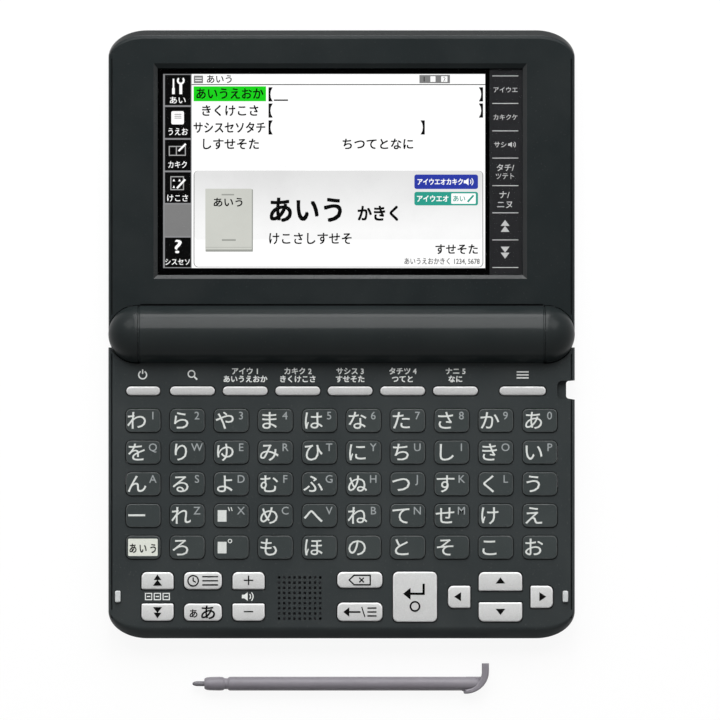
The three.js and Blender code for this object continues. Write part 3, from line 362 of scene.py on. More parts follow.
def silver_paint(name, colour):
    """Metallic paint on plastic: fine flakes, a slight sheen, edges polished by fingers and lightened by a
    painted highlight
    """
    material, tree, shader = new_finish(name)
    skin = effect(tree, MOULDED_SKIN, Grain_Size=0.12, Mottle_Size=9.0)
    ridge = effect(tree, RIDGE_WEAR_AND_HIGHLIGHT, Amount=0.5)["Mask"]
    flakes = node_of(tree, "ShaderNodeTexVoronoi")
    feed(tree, flakes.inputs["Vector"], place_of(tree))
    flakes.inputs["Scale"].default_value = 7000.0
    flake = node_of(tree, "ShaderNodeSeparateColor")
    feed(tree, flake.inputs[0], flakes.outputs["Color"])
    sparkle = range_of(tree, flake.outputs[0], 0.0, 1.0, 0.9, 1.06)
    tone = blend_of(tree, skin["Mottle"], shade(colour, 0.96), shade(colour, 1.03))
    glinting = blend_of(tree, 1.0, tone, colour_of(tree, sparkle, sparkle, sparkle), "MULTIPLY")
    # Ridges are painted lighter: partly polish, partly a painted highlight
    feed(tree, shader["Base Color"], blend_of(tree, ridge, glinting, (0.86, 0.86, 0.87, 1)))
    feed(tree, shader["Roughness"], range_of(tree, skin["Height"], 0.2, 0.8, 0.3, 0.42))
    shader["Metallic"].default_value = 0.1
    shader["Specular IOR Level"].default_value = 0.25
    bump(tree, shader, skin["Height"], 0.12, 0.00003)
    return material


def rubber(name, colour, roughness=0.8):
    material, tree, shader = new_finish(name)
    skin = effect(tree, MOULDED_SKIN, Grain_Size=0.3, Mottle_Size=3.0)
    specks = effect(tree, SETTLED_DUST, Amount=0.25)["Mask"]
    tone = blend_of(tree, skin["Mottle"], shade(colour, 0.85), shade(colour, 1.1))
    feed(tree, shader["Base Color"], blend_of(tree, specks, tone, (0.4, 0.39, 0.37, 1)))
    feed(tree, shader["Roughness"], range_of(tree, skin["Rub"], 0.0, 1.0, roughness, roughness - 0.12))
    shader["Specular IOR Level"].default_value = 0.25
    bump(tree, shader, skin["Height"], 0.4, 0.00008)
    return material


def sheet_metal(name, colour, roughness):
    """Plated or rolled sheet with drawn lines and faint stains"""
    material, tree, shader = new_finish(name)
    drawn = effect(tree, BRUSHED_LINES, Size=0.15)
    skin = effect(tree, MOULDED_SKIN, Grain_Size=0.5, Mottle_Size=5.0)
    tone = blend_of(tree, drawn["Tone"], shade(colour, 0.88), shade(colour, 1.05))
    feed(tree, shader["Base Color"], blend_of(tree, skin["Rub"], tone, shade(colour, 0.72)))
    even = range_of(tree, drawn["Tone"], 0.0, 1.0, roughness - 0.06, roughness + 0.08)
    feed(tree, shader["Roughness"], even)
    shader["Metallic"].default_value = 1.0
    bump(tree, shader, drawn["Height"], 0.15, 0.00003)
    return material


def lit_display(name, colour, strength=1.0, fade=None):
    """A colour of the lit display: pixel grid, uneven backlight, and a fade between two heights if asked"""
    material, tree, shader = new_finish(name)
    place = place_of(tree)
    scaled = node_of(tree, "ShaderNodeVectorMath", operation="SCALE")
    scaled.inputs["Scale"].default_value = 7500.0
    feed(tree, scaled.inputs[0], place)
    cell = node_of(tree, "ShaderNodeVectorMath", operation="FRACTION")
    feed(tree, cell.inputs[0], scaled.outputs[0])
    x, y, _ = axes_of(tree, cell.outputs[0])
    inside = [math_of(tree, "GREATER_THAN", share, 0.1) for share in (x, y)]
    grid = range_of(tree, math_of(tree, "MULTIPLY", *inside), 0.0, 1.0, 0.95, 1.0)
    glow = range_of(tree, noise_of(tree, place, 14.0, 1.0, 0.4), 0.3, 0.7, 0.97, 1.0)
    level = math_of(tree, "MULTIPLY", grid, glow)
    if fade:
        low, high, share = fade
        up = axes_of(tree, place)[1]
        falling = range_of(tree, up, (AXIS_Y + low) * MM, (AXIS_Y + high) * MM, 1.0, share)
        level = math_of(tree, "MULTIPLY", level, falling)
    shader["Base Color"].default_value = (0.0015, 0.0015, 0.0015, 1)
    shader["Specular IOR Level"].default_value = 0.0
    shader["Roughness"].default_value = 0.6
    light = colour_of(tree, *(math_of(tree, "MULTIPLY", level, channel) for channel in colour))
    feed(tree, shader["Emission Color"], light)
    shader["Emission Strength"].default_value = strength
    return material


def touch_film():
    """Clear touch film over the display: barely there, with faint finger smears"""
    material, tree, shader = new_finish("touch_film")
    smears = range_of(tree, noise_of(tree, place_of(tree), 45.0, 6.0, 0.7), 0.45, 0.75, 0.0, 1.0)
    shader["Base Color"].default_value = (0.006, 0.0065, 0.007, 1)
    shader["Specular IOR Level"].default_value = 0.05
    feed(tree, shader["Roughness"], range_of(tree, smears, 0.0, 1.0, 0.12, 0.3))
    feed(tree, shader["Alpha"], range_of(tree, smears, 0.0, 1.0, 0.03, 0.06))
    bump(tree, shader, smears, 0.03, 0.00002)
    return material


def circuit_board():
    """Green solder mask with copper tracks under it"""
    material, tree, shader = new_finish("circuit_board")
    place = place_of(tree)
    tracks = node_of(tree, "ShaderNodeTexBrick")
    feed(tree, tracks.inputs["Vector"], place)
    for label, value in (
        ("Scale", 180.0),
        ("Mortar Size", 0.03),
        ("Color1", (0.012, 0.09, 0.035, 1)),
        ("Color2", (0.014, 0.1, 0.04, 1)),
        ("Mortar", (0.05, 0.2, 0.07, 1)),
    ):
        tracks.inputs[label].default_value = value
    blotch = noise_of(tree, place, 120.0, 4.0, 0.6)
    feed(tree, shader["Base Color"], blend_of(tree, blotch, tracks.outputs["Color"], (0.02, 0.12, 0.05, 1)))
    feed(tree, shader["Roughness"], range_of(tree, blotch, 0.3, 0.7, 0.3, 0.45))
    bump(tree, shader, tracks.outputs["Fac"], 0.2, 0.00005)
    return material


CASE = moulding("case_charcoal", (0.0245, 0.029, 0.03), 0.45, gloss=0.09)
LID_CASE = moulding("lid_charcoal", (0.0068, 0.0096, 0.0103), 0.42, gloss=0.09, dust=0.03)
# Lighter than the lid: painted light on the slopes round the window
SLOPE_CASE_PAINTED_LIGHT = moulding("slope_charcoal_painted_light", (0.0165, 0.0182, 0.0188), 0.3, gloss=0.21, dust=0.02)
FAR_EDGE_CASE = moulding("edge_charcoal", (0.007, 0.0082, 0.0086), 0.3, gloss=0.21, dust=0.02)
# Painted shade: a dark finish for the side grooves and the gap beside the barrel
GROOVE_SHADE = moulding("groove_painted_shade", (0.0085, 0.009, 0.0095), 0.7, gloss=0.02, wear_and_highlight=0.0, dust=0.0)
BARREL_COLOUR = (0.0062, 0.0088, 0.0092)
BARREL = moulding("barrel_charcoal", BARREL_COLOUR, 0.5, gloss=0.08, dust=0.02, lines=0.5, polish=0.14)
CAP_CASE = moulding("cap_charcoal", (0.0066, 0.009, 0.0094), 0.44, gloss=0.09, dust=0.02, polish=0.07)
# Its ridges take a stronger painted highlight, for the light lines round the letter keys
LETTER_RUBBER = moulding("letter_key_charcoal", (0.029, 0.0352, 0.0355), 0.5, gloss=0.12, wear_and_highlight=0.6)
SILVER = silver_paint("silver_key_paint", (0.52, 0.523, 0.519))
KEY_SKIRT = moulding("key_skirt_dark", (0.02, 0.02, 0.021), 0.6, gloss=0.1)
FOOT_RUBBER = rubber("foot_rubber", (0.016, 0.017, 0.018))
BUMPER_RUBBER = rubber("bumper_rubber", (0.5, 0.52, 0.52), 0.7)
PEN = moulding("pen_grey", (0.2, 0.188, 0.21), 0.42, grain=0.15, wear_and_highlight=0.25, lines=0.3)
NIB = moulding("nib_grey", (0.16, 0.155, 0.17), 0.5, grain=0.15)
SLEEVE = moulding("cell_sleeve", (0.09, 0.1, 0.13), 0.3, gloss=0.5, depth=0.05)
STEEL = sheet_metal("plated_steel", (0.5, 0.51, 0.52), 0.32)
ALUMINIUM = sheet_metal("plain_aluminium", (0.55, 0.56, 0.57), 0.4)
SPEAKER_STEEL = sheet_metal("speaker_steel", (0.06, 0.06, 0.065), 0.5)
SCREW_STEEL = sheet_metal("screw_steel", (0.1, 0.1, 0.105), 0.35)
BOARD = circuit_board()
FILM = touch_film()
KANA_INK = printed_ink("legend_ink_white", (0.58, 0.6, 0.58, 1))
LATIN_INK = printed_ink("legend_ink_grey", (0.27, 0.29, 0.295, 1))
LABEL_INK = printed_ink("label_ink_grey", (0.72, 0.735, 0.72, 1))
PATCH_INK = printed_ink("patch_ink_pale", (0.62, 0.64, 0.58, 1))
BLACK_INK = printed_ink("key_ink_black", (0.002, 0.002, 0.002, 1), gloss=0.04)
STRIP_INK = printed_ink("strip_print", (0.0148, 0.0152, 0.0165, 1), 0.6, 0.05)
STRIP_MARK = printed_ink("strip_marks", (0.5, 0.5, 0.5, 1), 0.6, 0.05)
BORDER = printed_ink("film_border_black", (0.0006, 0.0006, 0.0006, 1), 0.6, 0.0)
LIT_WHITE = lit_display("display_white", (1.0, 1.0, 1.0), 1.15)
LIT_BLACK = lit_display("display_black", (0.002, 0.002, 0.002))
LIT_GREY = lit_display("display_grey", (0.235, 0.235, 0.235))
LIT_RULE = lit_display("display_rules", (0.29, 0.29, 0.3))
LIT_OUTLINE = lit_display("display_icon_grey", (0.45, 0.45, 0.45))
LIT_LINE = lit_display("display_thin_lines", (0.1, 0.1, 0.1))
LIT_PALE = lit_display("display_pale", (1.0, 1.0, 1.0), 1.05, (33.0, 50.5, 0.81))
LIT_GREEN = lit_display("display_green", (0.011, 0.72, 0.012))
LIT_BLUE = lit_display("display_blue", (0.03, 0.05, 0.42))
LIT_TEAL = lit_display("display_teal", (0.03, 0.38, 0.29))
LIT_BOOK = lit_display("display_book", (0.68, 0.69, 0.64))
LIT_BOOK_EDGE = lit_display("display_book_edge", (0.38, 0.39, 0.36))


# Shapes

CORNER_SIGNS = [(1, 1), (-1, 1), (-1, -1), (1, -1)]


def new_shape():
    """An empty shape whose points hold a value for the wear of a ridge"""
    bm = bmesh.new()
    bm.verts.layers.float.new("ridge")
    return bm


def block(low, high):
    """A box between two corners"""
    shape = new_shape()
    size = Vector(high) - Vector(low)
    place = Matrix.Translation((Vector(high) + Vector(low)) / 2) @ Matrix.Diagonal((*size, 1))
    bmesh.ops.create_cube(shape, size=1, matrix=place)
    return shape


def cylinder(radius, length, sides, place):
    shape = new_shape()
    bmesh.ops.create_cone(
        shape, cap_ends=True, segments=sides, radius1=radius, radius2=radius, depth=length, matrix=place
    )
    return shape


def round_bar(low, high, radius, y=0.0, z=AXIS_Z, sides=96):
    """A cylinder along x"""
    place = Matrix.Translation(((low + high) / 2, y, z)) @ Matrix.Rotation(math.pi / 2, 4, "Y")
    return cylinder(radius, high - low, sides, place)


def round_post(x, y, radius, low, high, sides=40):
    """A cylinder along z"""
    return cylinder(radius, high - low, sides, Matrix.Translation((x, y, (low + high) / 2)))


def turned(profile, sides=64):
    """A shape spun about the x axis from (x, radius) points that start and end on the axis"""
    shape = new_shape()
    verts = [shape.verts.new((x, radius, 0)) for x, radius in profile]
    edges = [shape.edges.new(pair) for pair in zip(verts, verts[1:])]
    circle = {"cent": (0, 0, 0), "axis": (1, 0, 0), "angle": 2 * math.pi}
    bmesh.ops.spin(shape, geom=verts + edges, steps=sides, use_merge=True, **circle)
    bmesh.ops.remove_doubles(shape, verts=shape.verts, dist=1e-4)
    bmesh.ops.recalc_face_normals(shape, faces=shape.faces)
    return shape


def flat_face(shape, points, height):
    face = shape.faces.new([shape.verts.new((x, y, height)) for x, y in points])
    face.normal_update()
    return face


def pushed(shape, faces, by):
    """Extrudes faces along a vector, and gives back all that is new and its points"""
    made = bmesh.ops.extrude_face_region(shape, geom=faces)["geom"]
    verts = [item for item in made if isinstance(item, bmesh.types.BMVert)]
    bmesh.ops.translate(shape, verts=verts, vec=by)
    return made, verts


def raised(shape, face, by):
    """Lifts a face of a closed shape on new walls, and gives back the new face and its points"""
    made, verts = pushed(shape, [face], (0, 0, by))
    if face.is_valid:
        shape.faces.remove(face)
    return next(item for item in made if isinstance(item, bmesh.types.BMFace)), verts


def thickened(shape, by):
    """Makes a sheet thick along a vector"""
    pushed(shape, shape.faces[:], by)
    bmesh.ops.recalc_face_normals(shape, faces=shape.faces)
    return shape


def runs_along(edge, axis):
    first, second = edge.verts
    return all(abs(first.co[other] - second.co[other]) < 1e-4 for other in range(3) if other != axis)


def edges_at_height(bm, height, least=0.6):
    """Sharp edges that lie in one level plane"""
    return [
        edge
        for edge in bm.edges
        if len(edge.link_faces) == 2
        and all(abs(vert.co.z - height) < 0.004 for vert in edge.verts)
        and edge.calc_face_angle() > least
    ]


def round_edges(bm, edges, width, steps):
    return bmesh.ops.bevel(
        bm,
        geom=edges,
        offset=width,
        offset_type="OFFSET",
        segments=steps,
        profile=0.5,
        affect="EDGES",
        clamp_overlap=True,
        material=-1,
    )


def soften(bm, edges, width, steps=2):
    """Rounds edges and marks the middle of each rounding as a ridge that wears and takes a painted highlight"""
    ridge = bm.verts.layers.float["ridge"]
    made = round_edges(bm, edges, width, steps)
    new_faces = set(made["faces"])
    for vert in made["verts"]:
        if all(face in new_faces for face in vert.link_faces):
            vert[ridge] = 1.0


def rounded_block(size, low, high, radii, steps=6):
    """An upright block about the origin, each of its four corners with its own radius"""
    half = Vector(size) / 2
    shape = block((-half.x, -half.y, low), (half.x, half.y, high))
    for radius in set(radii):
        corners = [half * Vector(signs) for signs, own in zip(CORNER_SIGNS, radii) if own == radius]
        edges = [
            edge
            for edge in shape.edges
            if runs_along(edge, 2) and any((edge.verts[0].co.xy - corner).length < 1e-4 for corner in corners)
        ]
        round_edges(shape, edges, radius, steps)
    return shape


def shifted(shape, x=0.0, y=0.0, z=0.0):
    bmesh.ops.translate(shape, verts=shape.verts, vec=(x, y, z))
    return shape


def span(side, near, far):
    """The low and high ends of a stretch that lies on one side of the middle"""
    return sorted((side * near, side * far))


def gathered(shapes):
    """Several shapes as one"""
    whole = new_shape()
    for shape in shapes:
        mesh = mesh_of(shape, "part")
        whole.from_mesh(mesh)
        bpy.data.meshes.remove(mesh)
    return whole


def worked(first, second, how):
    """Cuts a shape by another or joins the two"""
    objects = [in_scene("blank", mesh_of(shape, "blank")) for shape in (first, second)]
    tool = objects[0].modifiers.new("work", "BOOLEAN")
    tool.operation = how
    tool.solver = "EXACT"
    tool.object = objects[1]
    graph = bpy.context.evaluated_depsgraph_get()
    result = bpy.data.meshes.new_from_object(objects[0].evaluated_get(graph))
    shape = bmesh.new()
    shape.from_mesh(result)
    if not shape.verts.layers.float.get("ridge"):
        shape.verts.layers.float.new("ridge")
    for mesh in [result] + [piece.data for piece in objects]:
        bpy.data.meshes.remove(mesh)
    bmesh.ops.remove_doubles(shape, verts=shape.verts, dist=1e-4)
    bmesh.ops.dissolve_degenerate(shape, dist=1e-4, edges=shape.edges)
    return shape


def cut(shape, *tools):
    for tool in tools:
        shape = worked(shape, tool, "DIFFERENCE")
    return shape


def joined(shape, *others):
    for other in others:
        shape = worked(shape, other, "UNION")
    return shape


def settle(shape, name, finish, body, replaces=(), crease=28, flat=True):
    """Puts a finished shape into the frame, shades it, and lets it ride on its body"""
    bmesh.ops.transform(shape, matrix=INTO_FRAME, verts=shape.verts)
    mesh = mesh_of(shape, name)
    mesh.materials.append(finish)
    for face in mesh.polygons:
        face.use_smooth = True
    mesh.set_sharp_from_angle(angle=math.radians(crease))
    piece = in_scene(name, mesh)
    if flat:
        weights = piece.modifiers.new("even shading", "WEIGHTED_NORMAL")
        weights.keep_sharp = True
    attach(piece, body)
    if replaces:
        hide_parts(*replaces)
    return piece


# Case halves

def quarter_turns(steps):
    """Evenly spaced shares of a quarter turn as sines, from 0"""
    return [math.sin(step * math.pi / 2 / steps) for step in range(steps + 1)]


def edge_inset(edge, depth):
    """How far an edge's profile lies inside the outline at some depth under the face"""
    if isinstance(edge[0], tuple):
        for (inset, drop), (next_inset, next_drop) in zip(edge, edge[1:]):
            if drop >= depth >= next_drop:
                return inset + (next_inset - inset) * (drop - depth) / (drop - next_drop)
        return 0.0
    inset, drop = edge
    share = max(1 - depth / drop, 0.0)
    return inset * (1 - math.sqrt(1 - share * share))


def ring_depths(edge):
    """Depths under the face at which the rings of a rounded edge lie, from the deepest"""
    if isinstance(edge[0], tuple):
        fine = {edge[0][1] * (1 - sine) for sine in quarter_turns(POINTED_EDGE_RINGS)[:-1]}
        return sorted({drop for _, drop in edge} | fine, reverse=True)
    return [edge[1] * (1 - sine) for sine in quarter_turns(EDGE_RINGS)]


def reshape_ends(verts, centre, new_centre, scales):
    """Moves what lies past the corners' centres with them, and scales it about them"""
    for vert in verts:
        for axis in (0, 1):
            over = abs(vert.co[axis]) - centre[axis]
            if over > -1e-4:
                vert.co[axis] = math.copysign(new_centre[axis] + over * scales[axis], vert.co[axis])


def case_form(side, horn, split, face_at, along_sides, along_end):
    """A half of the case from its seam to its face, its corners and edges rounded"""
    up = math.copysign(1, face_at - split)
    depths = ring_depths(along_end)
    height = face_at - up * depths[0]
    y0, y1 = span(side, horn, REACH)
    shape = block((-HALF_WIDTH, y0, min(split, height)), (HALF_WIDTH, y1, max(split, height)))
    upright = [edge for edge in shape.edges if runs_along(edge, 2)]
    corners = [edge for edge in upright if abs(abs(edge.verts[0].co.y) - REACH) < 1e-4]
    round_edges(shape, corners, CORNER, CORNER_STEPS)
    centre = (HALF_WIDTH - CORNER_ACROSS, REACH - CORNER_ALONG)
    stretch = (CORNER_ACROSS / CORNER, CORNER_ALONG / CORNER)
    reshape_ends(shape.verts, (HALF_WIDTH - CORNER, REACH - CORNER), centre, stretch)
    face = next(face for face in shape.faces if abs(face.calc_center_median().z - height) < 1e-4)
    shares = (1.0, 1.0)
    for depth in depths[1:]:
        next_height = face_at - up * depth
        face, verts = raised(shape, face, next_height - height)
        height = next_height
        insets = (edge_inset(along_sides, depth) / CORNER_ACROSS, edge_inset(along_end, depth) / CORNER_ALONG)
        next_shares = [1 - inset for inset in insets]
        reshape_ends(verts, centre, centre, [share / before for share, before in zip(next_shares, shares)])
        shares = next_shares
    bmesh.ops.recalc_face_normals(shape, faces=shape.faces)
    return shape


def cap_room():
    """Balls that the case halves are cut back to round the hinge's caps"""
    rooms = []
    for side in (-1, 1):
        ball = new_shape()
        place = Matrix.Translation((side * CAP_FACE, 0, AXIS_Z)) @ Matrix.Rotation(math.pi / 2, 4, "Y")
        bmesh.ops.create_uvsphere(ball, u_segments=96, v_segments=48, radius=BARREL_RADIUS + 0.35, matrix=place)
        rooms.append(ball)
    return rooms


def arm_slots():
    """Ways out of the caps and into the lid for the hinge brackets' arms"""
    spans = [span(side, 65.7, 68.3) for side in (-1, 1)]
    return [block((x0, 5.6, 3.8), (x1, 10.9, 7.0)) for x0, x1 in spans]


def trough(reach=BARREL_CUT):
    return block((-TROUGH_HALF, -reach, -5), (TROUGH_HALF, reach, 20))


def hollow(side, end_wall, low, high):
    """The space inside a half of the case"""
    y0, y1 = span(side, BARREL_CUT + 1.5, REACH - end_wall)
    radii = (0.2, 0.2, 8.5, 8.5) if side < 0 else (8.5, 8.5, 0.2, 0.2)
    return shifted(rounded_block((145, y1 - y0), low, high, radii), 0, (y0 + y1) / 2)


def side_grooves(side, top):
    """Fine lines along both sides, where the face meets the case's rounded rim"""
    y0, y1 = span(side, 6.2, REACH - CORNER_ALONG - 0.5)
    return [
        block((x - GROOVE_HALF, y0, top - 0.5), (x + GROOVE_HALF, y1, top + 1)) for x in (-GROOVE_X, GROOVE_X)
    ]


ROUND = 1.7
SQUARE = 0.5
REAR_ROUND = (ROUND, ROUND, SQUARE, SQUARE)
FRONT_ROUND = (SQUARE, SQUARE, ROUND, ROUND)

# Keys of the function row: share of the half span, width
PILL_KEYS = {
    "power_key": (-1, 11),
    "search_key": (-0.752, 14.5),
    "shortcut_key_1": (-0.486, 14.5),
    "shortcut_key_2": (-0.221, 14.5),
    "shortcut_key_3": (0.043, 14.5),
    "shortcut_key_4": (0.308, 14.5),
    "shortcut_key_5": (0.574, 14.5),
    "menu_key": (0.913, 15),
}
# Keys along the front: share of the half span, y, width, depth, corners
COMMAND_KEYS = {
    "page_up_key": (-0.928, UPPER_Y, 10.5, 5.8, REAR_ROUND),
    "page_down_key": (-0.928, LOWER_Y, 10.5, 5.8, FRONT_ROUND),
    "history_key": (-0.699, UPPER_Y, 12.3, 5.8, (ROUND,) * 4),
    "text_size_key": (-0.699, LOWER_Y, 12.3, 5.8, (ROUND,) * 4),
    "volume_up_key": (-0.469, UPPER_Y, 10.5, 5.8, REAR_ROUND),
    "volume_down_key": (-0.469, LOWER_Y, 10.5, 5.8, FRONT_ROUND),
    "delete_key": (0.092, UPPER_Y + 0.25, 14.6, 5.4, (ROUND,) * 4),
    "back_key": (0.092, LOWER_Y + 0.1, 14.6, 6.2, (ROUND,) * 4),
    "enter_key": (0.37, MIDDLE_Y - 0.12, 14.3, 16.24, (ROUND,) * 4),
    "cursor_left_key": (0.593, MIDDLE_Y - 0.15, 7.4, 7.4, (SQUARE, ROUND, ROUND, SQUARE)),
    "cursor_right_key": (1.009, MIDDLE_Y - 0.15, 7.4, 7.4, (ROUND, SQUARE, SQUARE, ROUND)),
    "cursor_up_key": (0.801, UPPER_Y - 0.25, 14.1, 6.3, REAR_ROUND),
    "cursor_down_key": (0.801, LOWER_Y + 0.08, 14.1, 6.46, FRONT_ROUND),
}
# All silver keys: x, y, width, depth, corners, width of the rounding round the top
SILVER_KEYS = {
    name: (share * HALF_SPAN, FUNCTION_Y, width, 3.15, (1.45,) * 4, 1.35)
    for name, (share, width) in PILL_KEYS.items()
}
for name, (share, *sizes) in COMMAND_KEYS.items():
    SILVER_KEYS[name] = (share * HALF_SPAN, *sizes, 0.48)


def key_openings():
    openings = []
    size = [side + 2 * KEY_PLAY for side in LETTER_SIZE]
    for y in LETTER_ROWS:
        for x in LETTER_COLUMNS:
            openings.append(shifted(rounded_block(size, *DECK_CUT, (LETTER_CORNER + KEY_PLAY,) * 4, 5), x, y))
    for x, y, width, depth, corners, _ in SILVER_KEYS.values():
        radii = tuple(min(corner + SILVER_TRIM, depth / 2 + SILVER_TRIM * 0.9) for corner in corners)
        size = (width + 2 * SILVER_TRIM, depth + 2 * SILVER_TRIM)
        openings.append(shifted(rounded_block(size, *DECK_CUT, radii, 5), x, y))
    return openings


def grille_holes():
    """Nine rows of nine square holes over the speaker"""
    half = 0.4
    low, high = DECK_CUT
    steps = [1.63 * (step - 4) for step in range(9)]
    middles = [(SPEAKER[0] + dx, SPEAKER[1] + dy) for dx in steps for dy in steps]
    return [block((x - half, y - half, low), (x + half, y + half, high)) for x, y in middles]


def hook_notch():
    """Cut through the right side that the stored pen's hook fills, flaring outwards"""
    shape = block((71.25, FUNCTION_Y - 2.3, -1), (78, FUNCTION_Y + 3.1, 12))
    for vert in shape.verts:
        if vert.co.x > 77:
            vert.co.y += 0.6 if vert.co.y > FUNCTION_Y else -1.1
    edges = [edge for edge in shape.edges if runs_along(edge, 2) and edge.verts[0].co.x < 72]
    round_edges(shape, edges, 0.8, 6)
    return shape


def build_fascia():
    form = case_form(-1, BASE_HORN, BASE_SPLIT + SEAM, BASE_TOP, SIDE_EDGE, BASE_FRONT_EDGE)
    shape = cut(form, hollow(-1, 3.15, 5, 8.7), trough(), *cap_room())
    shape = joined(shape, block((67.3, FUNCTION_Y - 4.5, BASE_SPLIT + SEAM), (73.2, FUNCTION_Y + 4.5, 8.8)))
    scoop = shifted(rounded_block((5.0, 6), 7.8, 11, (1.6,) * 4), 70.9, FUNCTION_Y + 0.25)
    bumper_pockets = [
        shifted(rounded_block((2.1, 3.9), 9.3, 11, (0.45,) * 4, 4), x, MIDDLE_Y) for x in (-BUMPER_X, BUMPER_X)
    ]
    holes = gathered([*key_openings(), *grille_holes(), *bumper_pockets])
    shape = cut(shape, holes, scoop, hook_notch(), *side_grooves(-1, BASE_TOP))
    soften(shape, edges_at_height(shape, BASE_TOP), 0.11)
    return shape


def build_bottom():
    form = case_form(-1, BASE_HORN, BASE_SPLIT - SEAM, BASE_BOTTOM, OUTER_EDGE, OUTER_EDGE)
    rear_way = block((-BARREL_HALF, -10.9, 2.0), (BARREL_HALF, -8, 8))
    shape = cut(form, hollow(-1, 1.6, 2.0, 8), rear_way, trough(), *cap_room())
    shape = joined(shape, block((69.6, FUNCTION_Y - 4.7, 1.9), (73.2, FUNCTION_Y + 4.7, BASE_SPLIT - SEAM)))
    pen_way = block((-20.9, FUNCTION_Y - 2.3, 1.5), (75, FUNCTION_Y + 2.3, 6.1))
    feet = [round_post(side * FRONT_FOOT[0], FRONT_FOOT[1], 3.3, -1, 1.2) for side in (-1, 1)]
    screws = [round_post(x, y, 2.1, -1, 1.5, 32) for x, y in BASE_SCREWS]
    jack = round_bar(-78, -71, 2.2, -30, 4.225, 40)
    usb = block((-75, -48, 3.55), (-71, -40, 7))
    card = block((71, -47.8, 5.1), (76, -36.2, 6.2))
    label_field = shifted(rounded_block((52, 22), -1, 0.95, (1.2,) * 4), 0, -58)
    shape = cut(shape, pen_way, hook_notch(), gathered([*feet, *screws, jack, usb, card, label_field]))
    soften(shape, edges_at_height(shape, BASE_BOTTOM), 0.12)
    return shape


def window_opening():
    """The window's slopes, with straight walls under and over them"""
    x0, x1, y0, y1 = WINDOW
    window = block((x0, y0, GLASS_TOP), (x1, y1, LID_TOP))
    for vert in window.verts:
        if vert.co.z < GLASS_TOP + 0.1:
            vert.co.x = WINDOW_FOOT[0 if vert.co.x < 0 else 1]
            vert.co.y = WINDOW_FOOT[2 if vert.co.y < 40 else 3]
    for height, by in ((GLASS_TOP, -2), (LID_TOP, 2)):
        flat = (face for face in window.faces if all(abs(vert.co.z - height) < 1e-4 for vert in face.verts))
        raised(window, next(flat), by)
    bmesh.ops.recalc_face_normals(window, faces=window.faces)
    return window


def build_bezel():
    form = case_form(1, 0, LID_SPLIT + SEAM, LID_TOP, SIDE_EDGE, LID_FAR_EDGE)
    shape = cut(form, hollow(1, 3.0, 4, GLASS_TOP), trough(BEZEL_CUT), *cap_room())
    ledge = block((-TROUGH_HALF, 5, LID_TOP - 0.45), (TROUGH_HALF, BEZEL_LEDGE, LID_TOP + 1))
    shape = cut(shape, window_opening(), ledge, *side_grooves(1, LID_TOP), *arm_slots())
    soften(shape, edges_at_height(shape, LID_TOP, 0.4), 0.15)
    return shape


def build_lid_back():
    form = case_form(1, 0, LID_SPLIT - SEAM, LID_BACK, OUTER_EDGE, LID_FAR_EDGE)
    return cut(form, hollow(1, 1.6, 3.4, 8), trough(), *cap_room(), *arm_slots())


def screw_heads(places, low):
    """Cross-headed screws sunk in their holes, heads down"""
    heads = []
    for x, y in places:
        head = round_post(x, y, 1.75, low, low + 0.9, 32)
        soften(head, edges_at_height(head, low), 0.25, 3)
        bars = [
            block((x - dx, y - dy, low - 1), (x + dx, y + dy, low + 0.45)) for dx, dy in ((1, 0.17), (0.17, 1))
        ]
        heads.append(cut(head, joined(*bars)))
    return gathered(heads)


def places_of(piece):
    """Each face of a settled piece, with its middle in the script's own place and units"""
    middles = [(face, *face.center) for face in piece.data.polygons]
    return [(face, x / MM, y / MM - AXIS_Y, z / MM) for face, x, y, z in middles]


def paint_groove_shade(piece, top):
    """Paints shade, as a dark finish, into the grooves along both sides and into the gap beside the barrel"""
    piece.data.materials.append(GROOVE_SHADE)
    for face, x, y, z in places_of(piece):
        at_side = abs(abs(x) - GROOVE_X) < GROOVE_HALF + 0.005
        at_barrel = abs(x) < TROUGH_HALF and 0 < y < BEZEL_LEDGE + 0.05
        if (at_side or at_barrel) and 0.06 < top - z < 0.6:
            face.material_index = 1


def smooth_and_light_slopes(piece):
    """Gives the slopes round the window a smoother finish in a lighter colour that paints light onto them, and
    the far edge its smoother finish
    """
    for finish in (SLOPE_CASE_PAINTED_LIGHT, FAR_EDGE_CASE):
        piece.data.materials.append(finish)
    x0, x1, y0, y1 = WINDOW
    for face, x, y, z in places_of(piece):
        up = face.normal.z
        if x0 - 0.1 < x < x1 + 0.1 and y0 - 0.1 < y < y1 - 2 and 0.5 < up < 0.85:
            face.material_index = 2
        if y > REACH - CORNER_ALONG and face.normal.y > 0.2 and 0.1 < up < 0.8:
            face.material_index = 3


deck = settle(build_fascia(), "keyboard_deck", CASE, "base", ["keyboard_fascia"])
paint_groove_shade(deck, BASE_TOP)
settle(build_bottom(), "bottom_case", CASE, "base", ["bottom_shell"])
bezel = settle(build_bezel(), "screen_bezel", LID_CASE, "lid", ["lid_bezel"])
paint_groove_shade(bezel, LID_TOP)
smooth_and_light_slopes(bezel)
settle(build_lid_back(), "lid_back", LID_CASE, "lid", ["lid_outer_shell"])
settle(screw_heads(BASE_SCREWS, 0.95), "case_screws", SCREW_STEEL, "base")


# Hinge

